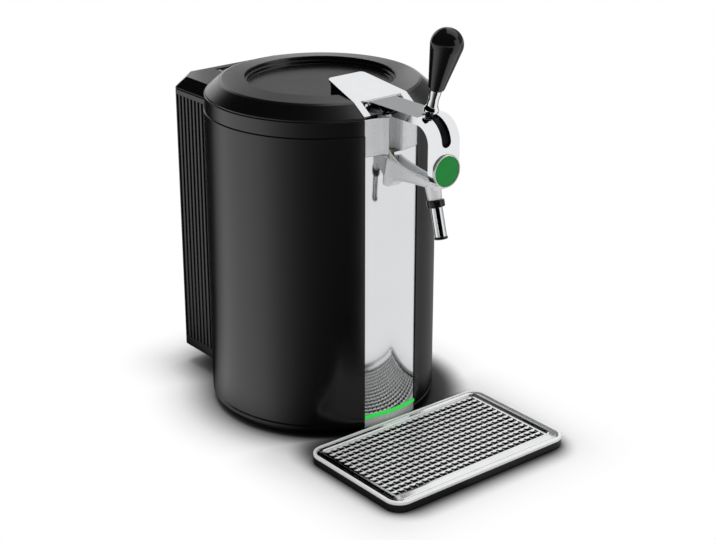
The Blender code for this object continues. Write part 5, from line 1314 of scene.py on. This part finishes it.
def makeRearGrille():
    low, high = nodeBox("rear_grille")
    border = grille["border"]
    pitch = (high.z - low.z - 2 * grille["margin"]) / grille["slats"]
    land = pitch - grille["slot"]
    bottom = low.z + grille["margin"] + land / 2
    top = high.z - grille["margin"] - land / 2
    outer = roundedBox(low.x, high.x, low.z, high.z, 2)
    inner = roundedBox(low.x + border, high.x - border, bottom, top, 2)
    rim = extrude("rearGrilleRim", [outer, inner], -high.y, -low.y, "front")
    soften(rim, 0.4, 2)
    finishPiece(rim, "cooler", "black_moulding", ["rear_grille"])
    slats = grow(
        "rearGrilleSlats",
        barRow,
        {
            "Count": grille["slats"] - 1,
            "First": (low.x + border - seat, (low.y + high.y) / 2, bottom + grille["slot"] + land / 2),
            "Step": (0, 0, pitch),
            "Width": high.y - low.y - 0.1,
            "Depth": land,
            "Length": (0, 0, high.x - low.x - 2 * border + 2 * seat),
            "Turn": (math.radians(90), 0, math.radians(90)),
            "Edge": 0.9,
            "Finish": finishes["blackMoulding"],
        },
    )
    finishPiece(slats, "cooler", "black_moulding")


makeHousing()
makeCover()
makeRearGrille()
print("rear built")


# Drip tray and perforated drip grille

tray = {
    "half": 119.5, "front": -274.0, "rear": -127.3, "corner": 17.2, "height": 8.0, "wall": 2.4, "floor": 2.0,
    "tabHalf": 30.0, "tabRear": -105.0, "tabTop": 2.5,
}
field = {
    "half": 106.0, "front": -256.5, "rear": -135.8, "corner": 4.0, "columns": 26, "rows": 14, "margin": 2.0,
    "drop": 2.5,
}


def trayRing(inset, z):
    half, corner = tray["half"] - inset, tray["corner"] - inset
    ring = roundedBox(-half, half, tray["front"] + inset, tray["rear"] - inset, corner, 16)
    return [(x, y, z) for x, y in ring]


def fieldRing(grown, z):
    half, corner = field["half"] + grown, field["corner"] + grown
    ring = roundedBox(-half, half, field["front"] - grown, field["rear"] + grown, corner, 16)
    return [(x, y, z) for x, y in ring]


def makeTray():
    height, wall, floor = tray["height"], tray["wall"], tray["floor"]
    rings = [
        trayRing(2.2, 0), trayRing(1.2, 0.15), trayRing(0.5, 0.7), trayRing(0.2, 1.8),
        trayRing(0.2, height - 0.4), trayRing(0.6, height), trayRing(wall - 0.3, height),
        trayRing(wall, height - 0.3), trayRing(wall + 0.8, floor + 1.5), trayRing(wall + 1.6, floor + 0.4),
        trayRing(wall + 3, floor),
    ]
    tub = loft("dripTray", rings)
    half = tray["tabHalf"]
    tab = block("tab", (-half, tray["rear"] - 1.7, seat), (half, tray["tabRear"], tray["tabTop"]))
    combine(tub, [tab], "UNION")
    finishPiece(tub, "tray", "black_moulding", ["drip_tray"], finish="trayMoulding")
    # The basin's floor is its own sheet of matte black painted shade, so the slots above it read as black.
    basin = loft("basinFloor", [trayRing(wall + 3, floor + 0.05), trayRing(wall + 3, floor + 0.3)])
    finishPiece(basin, "tray", "black_moulding", finish="dullBlack")


def spaced(ring, parts=8):
    # Extra points on the four straight sides keep the corners' shading out of them.
    found = []
    for i, point in enumerate(ring):
        after = ring[(i + 1) % len(ring)]
        found.append(point)
        if math.dist(point, after) > 30:
            for k in range(1, parts):
                found.append(tuple(a + (b - a) * k / parts for a, b in zip(point, after)))
    return found


def makeRim():
    # A satin lip with the near-white painted sheen, then a mirror band that rises inwards to a crest, with a
    # steep drop to the sheet.
    # Two thin grooves, one against the lip and one across the band, part the band's reflections.
    low, high = nodeBox("drip_grille")
    skirt, top = low.z, high.z
    lip = [
        trayRing(0.6, skirt), trayRing(0, skirt + 0.5), trayRing(0, top - 0.8), trayRing(0.25, top - 0.25),
        trayRing(0.8, top), trayRing(2.6, top), trayRing(3.1, top - 0.25), trayRing(3.3, top - 0.8),
        trayRing(3.3, skirt),
    ]
    band = [
        trayRing(3.3, skirt), trayRing(3.3, top - 2.6), trayRing(3.9, top - 2.6), trayRing(4.0, top - 1.45),
        trayRing(6.2, top - 1.06), trayRing(6.3, top - 1.5), trayRing(6.8, top - 1.5),
        trayRing(6.9, top - 0.94), trayRing(7.9, top - 0.78), trayRing(8.1, top - 0.74),
        fieldRing(3.7, top - 0.24), fieldRing(3.4, top - 0.18), fieldRing(3.1, top - 0.3),
        fieldRing(0.8, top - 2.2), fieldRing(0.5, top - 2.35), fieldRing(0, top - 2.35), fieldRing(0, skirt),
    ]
    outer = loft("grilleLip", [spaced(ring) for ring in lip], ringShaped=True)
    finishPiece(outer, "grille", "grille_steel", ["drip_grille"], 24, "paintedSheenSteel")
    inner = loft("grilleBand", [spaced(ring) for ring in band], ringShaped=True)
    finishPiece(inner, "grille", "grille_steel", (), 24)


punch = {
    "land": 1.5, "reach": 2.2, "half": 2.8, "sheet": 0.5, "fin": 0.2, "crest": 1.6, "foot": 2.4,
    "post": 0.8, "postFoot": 1.8,
}


def makeCell(width, depth):
    # One punched cell: a land along the rear carries a half-round tongue over the open slot in front of it.
    halfX, halfY = width / 2, depth / 2
    rear = halfY - punch["land"]
    outline = [(halfX, halfY), (-halfX, halfY), (-halfX, rear)]
    for i in range(15):
        angle = math.radians(180 + 180 * i / 14)
        outline.append((punch["half"] * math.cos(angle), rear + punch["reach"] * math.sin(angle)))
    outline.append((halfX, rear))
    sheet = extrude("cell", [outline], -punch["sheet"], 0)
    sides = ((-halfX, -halfX + punch["fin"]), (halfX - punch["fin"], halfX))
    fins = [block("fin", (x, -halfY, -punch["foot"]), (end, halfY, -punch["crest"])) for x, end in sides]
    postTop = 0.1 - punch["sheet"]
    postY, postFoot = halfY - punch["post"], -punch["postFoot"]
    posts = [block("post", (x, postY, postFoot), (end, halfY, postTop)) for x, end in sides]
    return combine(sheet, fins + posts, "UNION")


def makeField():
    high = nodeBox("drip_grille")[1]
    top = high.z - field["drop"]
    margin = field["margin"]
    pitchX = (2 * field["half"] - 2 * margin) / field["columns"]
    pitchY = (field["rear"] - field["front"] - 2 * margin) / field["rows"]
    cell = makeCell(pitchX, pitchY)
    middle = (field["front"] + field["rear"]) / 2
    # The lands take the near-white painted sheen in place of the steel's reflection.
    sheet = grow(
        "grilleField",
        copyGrid,
        {
            "Cell": cell, "Columns": field["columns"], "Rows": field["rows"],
            "Width": pitchX * (field["columns"] - 1), "Depth": pitchY * (field["rows"] - 1),
            "Centre": (0, middle, top), "Finish": finishes["paintedSheenSteel"],
        },
    )
    bpy.data.objects.remove(cell)
    finishPiece(sheet, "grille", "grille_steel", finish="paintedSheenSteel")
    upper, lower = top - 0.02, top - 1.0
    rings = [
        fieldRing(0.3, upper), fieldRing(0.3, lower), fieldRing(-margin - 0.1, lower),
        fieldRing(-margin - 0.1, upper),
    ]
    border = loft("grilleBorder", rings, ringShaped=True)
    finishPiece(border, "grille", "grille_steel")


makeTray()
makeRim()
makeField()
print("tray built")


# Nodes that keep their CAD shape

carried = {
    "black_moulding": ("base_plate", "fan_frame", "power_inlet", "switch_frame"),
    "feet_rubber": ("foot_1", "foot_2", "foot_3", "foot_4"),
    "circuit_board": ("control_board",),
    "foam": ("insulation",),
    "hinge_steel": ("hinge_bracket", "hinge_pin", "power_supply"),
    "well_aluminium": ("cold_block", "heat_sink"),
    "ceramic": ("cooling_module",),
    "grey_moulding": ("fan_rotor", "power_switch"),
}


def makeSmoothTree():
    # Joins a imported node's loose triangles and shades its round faces smooth.
    tree = bpy.data.node_groups.new("smoothFacets", "GeometryNodeTree")
    tree.is_modifier = True
    tree.interface.new_socket("Geometry", in_out="OUTPUT", socket_type="NodeSocketGeometry")
    tree.interface.new_socket("Geometry", in_out="INPUT", socket_type="NodeSocketGeometry")
    given = addNode(tree, "NodeGroupInput").outputs[0]
    merged = addNode(
        tree, "GeometryNodeMergeByDistance", inputs={"Geometry": given, "Distance": 0.000001}
    ).outputs[0]
    smooth = addNode(
        tree, "GeometryNodeSetShadeSmooth", {"domain": "FACE"}, {"Geometry": merged, "Shade Smooth": True}
    ).outputs[0]
    angle = addNode(tree, "GeometryNodeInputMeshEdgeAngle").outputs["Unsigned Angle"]
    sharp = addNode(
        tree, "FunctionNodeCompare", {"operation": "GREATER_THAN"}, {0: angle, 1: math.radians(30)}
    ).outputs[0]
    split = addNode(
        tree,
        "GeometryNodeSetShadeSmooth",
        {"domain": "EDGE"},
        {"Geometry": smooth, "Selection": sharp, "Shade Smooth": False},
    ).outputs[0]
    out = addNode(tree, "NodeGroupOutput")
    tree.links.new(split, out.inputs[0])
    return tree


smoothTree = makeSmoothTree()
for slotName, nodes in carried.items():
    for node in nodes:
        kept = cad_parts[node]
        kept.data.materials.clear()
        kept.data.materials.append(slotMaterial(slotName))
        kept.modifiers.new("smooth", "NODES").node_group = smoothTree
print("kept nodes dressed")


# Stage: floor, soft light, reflection cards and camera

def compute(tree, operation, first, second=0.0, clamp=False):
    settings = {"operation": operation, "use_clamp": clamp}
    return addNode(tree, "ShaderNodeMath", settings, {0: first, 1: second}).outputs[0]


def computeVector(tree, operation, first, second=(0, 0, 0)):
    # Lengths, distances and dot products are one number, on an output of its own.
    made = addNode(tree, "ShaderNodeVectorMath", {"operation": operation}, {0: first, 1: second})
    return made.outputs["Value" if operation in ("LENGTH", "DISTANCE", "DOT_PRODUCT") else "Vector"]


def softStep(tree, value, span, least=0.0):
    # Rises smoothly from least to 1 along span, which may run downwards.
    return addNode(
        tree,
        "ShaderNodeMapRange",
        {"interpolation_type": "SMOOTHSTEP"},
        {"Value": value, "From Min": span[0], "From Max": span[1], "To Min": least, "To Max": 1.0},
    ).outputs["Result"]


def boxDistance(tree, place, node, extra=(0, 0)):
    # How far a floor point lies from a node's outline, taken as a rectangle.
    low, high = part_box(node)
    middle = ((low.x + high.x) / 2, (low.y + high.y) / 2, 0)
    reach = ((high.x - low.x) / 2 + extra[0], (high.y - low.y) / 2 + extra[1], 1.0)
    offset = computeVector(tree, "ABSOLUTE", computeVector(tree, "SUBTRACT", place, middle))
    outside = computeVector(tree, "MAXIMUM", computeVector(tree, "SUBTRACT", offset, reach))
    return computeVector(tree, "LENGTH", outside)


# Floor size, its fade to white, and the reach and depth of the shadow painted round the drum and the tray.
ground = {
    "size": 12.0, "drop": 0.0002, "paint": "#fbfbfb", "drumRadius": 0.125, "fade": (0.0, 0.085),
    "shadowX": 0.016, "shadowY": -0.012, "shadowRadius": 0.118, "trayShrink": (-0.03, -0.02),
    "trayEdge": 0.014, "shadow": (0.0, 0.034), "darkest": 0.12, "cornerReach": 0.045,
}


def makeFloor():
    bm = bmesh.new()
    bmesh.ops.create_grid(bm, x_segments=1, y_segments=1, size=ground["size"])
    floor = scratch("floor", bm)
    floor.location = (0, 0, -ground["drop"])
    material = bpy.data.materials.new("paleFloor")
    material.use_nodes = True
    tree = material.node_tree
    tree.nodes.remove(tree.nodes["Principled BSDF"])
    place = addNode(tree, "ShaderNodeTexCoord").outputs["Object"]
    # The paint turns into plain white a short way from the drum, the tray and the housing.
    nearest = computeVector(tree, "DISTANCE", place, (0, axisY, 0))
    nearest = compute(tree, "SUBTRACT", nearest, ground["drumRadius"])
    for node in ("drip_tray", "rear_housing"):
        nearest = compute(tree, "MINIMUM", nearest, boxDistance(tree, place, node))
    fade = softStep(tree, nearest, ground["fade"])
    # Painted shadow: the floor's colour darkens towards the front of the drum and along the middle of the low
    # tray's sides.
    touch = computeVector(tree, "DISTANCE", place, (ground["shadowX"], axisY + ground["shadowY"], 0))
    touch = compute(tree, "SUBTRACT", touch, ground["shadowRadius"])
    away = boxDistance(tree, place, "drip_tray", ground["trayShrink"])
    away = compute(tree, "SUBTRACT", away, ground["trayEdge"])
    paintedShadow = softStep(tree, compute(tree, "MINIMUM", touch, away), ground["shadow"], ground["darkest"])
    # Painted shade: an occlusion test darkens the floor's colour in the corner between floor and object, more
    # than the soft light alone would make it.
    corner = addNode(
        tree, "ShaderNodeAmbientOcclusion", {"samples": 8}, {"Distance": ground["cornerReach"]}
    ).outputs["AO"]
    depth = addNode(
        tree, "ShaderNodeMapRange", inputs={"Value": corner, "From Min": 0.3, "To Min": 0.1, "To Max": 1.0}
    ).outputs["Result"]
    depth = compute(tree, "MULTIPLY", depth, paintedShadow)
    white = toLinear(ground["paint"])
    colour = addNode(
        tree, "ShaderNodeMix", {"data_type": "RGBA"}, {0: depth, 6: (0, 0, 0, 1), 7: white}
    ).outputs[2]
    paint = addNode(tree, "ShaderNodeBsdfDiffuse", inputs={"Color": colour}).outputs[0]
    # The white glow carries the same painted shadow in its strength.
    glow = addNode(
        tree, "ShaderNodeEmission", inputs={"Color": (1, 1, 1, 1), "Strength": paintedShadow}
    ).outputs[0]
    mixed = addNode(tree, "ShaderNodeMixShader", inputs={0: fade, 1: paint, 2: glow}).outputs[0]
    tree.links.new(mixed, tree.nodes["Material Output"].inputs["Surface"])
    floor.data.materials.append(material)


def makeWorld():
    world = bpy.data.worlds.new("studio")
    bpy.context.scene.world = world
    world.use_nodes = True
    tree = world.node_tree
    path = addNode(tree, "ShaderNodeLightPath").outputs
    seen = compute(tree, "ADD", path["Is Camera Ray"], path["Is Glossy Ray"])
    seen = compute(tree, "ADD", seen, path["Is Transmission Ray"], clamp=True)
    strength = addNode(
        tree, "ShaderNodeMapRange", inputs={"Value": seen, "To Min": stage["dome"], "To Max": 1.0}
    ).outputs["Result"]
    background = tree.nodes["Background"]
    background.inputs["Color"].default_value = (1, 1, 1, 1)
    tree.links.new(strength, background.inputs["Strength"])


def flatFace(name, points):
    bm = bmesh.new()
    bm.faces.new([bm.verts.new(point) for point in points])
    return scratch(name, bm)


def hangFlag(flag, cover):
    # Black cloth that only reflections see; cover is its share, or builds the socket that says it.
    material = bpy.data.materials.new(flag.name + "Cloth")
    material.use_nodes = True
    tree = material.node_tree
    tree.nodes.remove(tree.nodes["Principled BSDF"])
    place = addNode(tree, "ShaderNodeTexCoord").outputs["Object"]
    cloth = addNode(tree, "ShaderNodeEmission", inputs={"Color": (0, 0, 0, 1), "Strength": 0.0}).outputs[0]
    clear = addNode(tree, "ShaderNodeBsdfTransparent").outputs[0]
    share = cover(tree, place) if callable(cover) else cover
    mixed = addNode(tree, "ShaderNodeMixShader", inputs={0: share, 1: clear, 2: cloth}).outputs[0]
    tree.links.new(mixed, tree.nodes["Material Output"].inputs["Surface"])
    flag.data.materials.append(material)
    for ray in ("camera", "diffuse", "shadow", "transmission"):
        setattr(flag, "visible_" + ray, False)


floorFlag = {
    "corners": [
        (-3.2, -3.0), (0.236, -3.0), (-0.036, -0.121), (-0.036, 0.05), (0.05, 0.05), (1.0, 3.0),
        (-3.2, 3.0),
    ],
    "height": 0.0006,
    "pivot": (-0.065, -0.054),
    # Azimuth in degrees from the front towards the left, and how much of the white floor is left there.
    "openings": [
        (15, 0.0), (42, 0.04), (60, 0.15), (78, 0.40), (98, 0.85), (115, 1.0), (148, 1.0), (158, 0.5),
        (170, 0.0),
    ],
}


def floorCover(tree, place):
    x, y = floorFlag["pivot"]
    offset = computeVector(tree, "SUBTRACT", place, (x, axisY + y, 0))
    axes = addNode(tree, "ShaderNodeSeparateXYZ", inputs={0: offset}).outputs
    turn = compute(tree, "ARCTAN2", axes[1], compute(tree, "MULTIPLY", axes[0], -1.0))
    share = addNode(
        tree, "ShaderNodeMapRange", inputs={"Value": turn, "From Min": -math.pi, "From Max": math.pi}
    ).outputs["Result"]
    ramp = addNode(tree, "ShaderNodeValToRGB", inputs={0: share})
    stops = ramp.color_ramp.elements
    openings = floorFlag["openings"]
    for stop, (azimuth, left) in zip(stops, (openings[0], openings[-1])):
        stop.position = (azimuth + 90) / 360
        stop.color = (1 - left, 1 - left, 1 - left, 1)
    for azimuth, left in openings[1:-1]:
        stops.new((azimuth + 90) / 360).color = (1 - left, 1 - left, 1 - left, 1)
    return ramp.outputs["Color"]


def makeFloorFlag():
    # Lies on the floor round the front, left and rear: the casing mirrors it, and the panel looks past it.
    corners = [(x, axisY + y, floorFlag["height"]) for x, y in floorFlag["corners"]]
    hangFlag(flatFace("floorFlag", corners), floorCover)


sideFlag = {"corners": [(0.036, -0.119), (3.06, -1.16), (3.06, 2.2), (0.12, 0.0)], "share": 0.75}


def makeSideFlag():
    # Greys the floor beside and behind the panel's right edge, where the casing turns away.
    corners = [(x, axisY + y, floorFlag["height"]) for x, y in sideFlag["corners"]]
    hangFlag(flatFace("sideFlag", corners), sideFlag["share"])


greyCard = {"left": 0.36, "right": 0.86, "low": 0.45, "high": 0.905, "behind": 0.8, "share": 0.6}


def makeGreyCard():
    # Stands behind at the height that the lid's and the arm's level faces mirror; the tray looks under it.
    left, right, low, high = (greyCard[key] for key in ("left", "right", "low", "high"))
    y = axisY + greyCard["behind"]
    corners = [(left, y, low), (right, y, low), (right, y, high), (left, y, high)]
    hangFlag(flatFace("greyCard", corners), greyCard["share"])


sky = {
    "radius": 8.0, "rear": (0.5, 0.866, 0), "front": (-0.53, -0.848, 0), "above": (0.49, 0.545),
    "beside": (0.66, 0.60), "behind": (0.93, 0.80), "left": (0.35, 0.15), "ahead": (0.90, 0.94),
    "right": (0.74, 0.82), "under": (0.56, 0.52), "rightShare": 0.8,
}


def towards(tree, place, direction):
    # The cosine between direction and the way from the origin to the shaded point.
    return computeVector(tree, "DOT_PRODUCT", computeVector(tree, "NORMALIZE", place), direction)


def skyCover(tree, place):
    def step(value, key):
        return softStep(tree, value, sky[key])

    height = towards(tree, place, (0, 0, 1))
    level = computeVector(tree, "MULTIPLY", place, (1, 1, 0))
    side = towards(tree, level, (1, 0, 0))
    high = compute(tree, "MULTIPLY", step(height, "above"), step(side, "beside"))
    low = compute(tree, "MULTIPLY", step(towards(tree, level, sky["rear"]), "behind"), step(side, "left"))
    right = compute(tree, "MULTIPLY", step(side, "right"), step(height, "under"))
    right = compute(tree, "MULTIPLY", right, sky["rightShare"])
    found = compute(tree, "MAXIMUM", high, low)
    found = compute(tree, "MAXIMUM", found, step(towards(tree, level, sky["front"]), "ahead"))
    return compute(tree, "MAXIMUM", found, right)


def makeSkyFlag():
    # Hangs over the object from the left; the rear right and the right of the sky stay open.
    bm = bmesh.new()
    bmesh.ops.create_uvsphere(bm, u_segments=48, v_segments=24, radius=sky["radius"])
    hangFlag(scratch("skyFlag", bm), skyCover)


def makeLamp(name, place, aim, size, power):
    data = bpy.data.lights.new(name, "AREA")
    data.shape = "DISK"
    data.size = size
    data.energy = power
    lamp = bpy.data.objects.new(name, data)
    lamp.location = place
    lamp.rotation_euler = (Vector(aim) - Vector(place)).to_track_quat("-Z", "Y").to_euler()
    lamp.visible_glossy = False
    bpy.context.scene.collection.objects.link(lamp)


shot = {
    "place": (-1.0054, -1.3146, 0.8099), "down": 21.87, "turn": -38.81, "sensor": 36.0, "lens": 80.24,
}


def makeCamera():
    data = bpy.data.cameras.new("camera")
    data.sensor_width = shot["sensor"]
    data.lens = shot["lens"]
    data.clip_start = 0.05
    data.clip_end = 60
    camera = bpy.data.objects.new("camera", data)
    x, y, z = shot["place"]
    camera.location = (x, axisY + y, z)
    camera.rotation_euler = (math.radians(90 - shot["down"]), 0, math.radians(shot["turn"]))
    bpy.context.scene.collection.objects.link(camera)
    bpy.context.scene.camera = camera


stage = {
    "dome": 0.54, "keyPower": 22.0, "keySize": 1.8, "keyPlace": (0.15, 0.1, 1.9), "keyAim": (0, -0.05, 0.0),
}
makeFloor()
makeWorld()
makeFloorFlag()
makeSideFlag()
makeGreyCard()
makeSkyFlag()
makeLamp("keyLamp", stage["keyPlace"], stage["keyAim"], stage["keySize"], stage["keyPower"])
makeCamera()
bpy.context.scene.view_settings.view_transform = "Standard"
print("stage built")
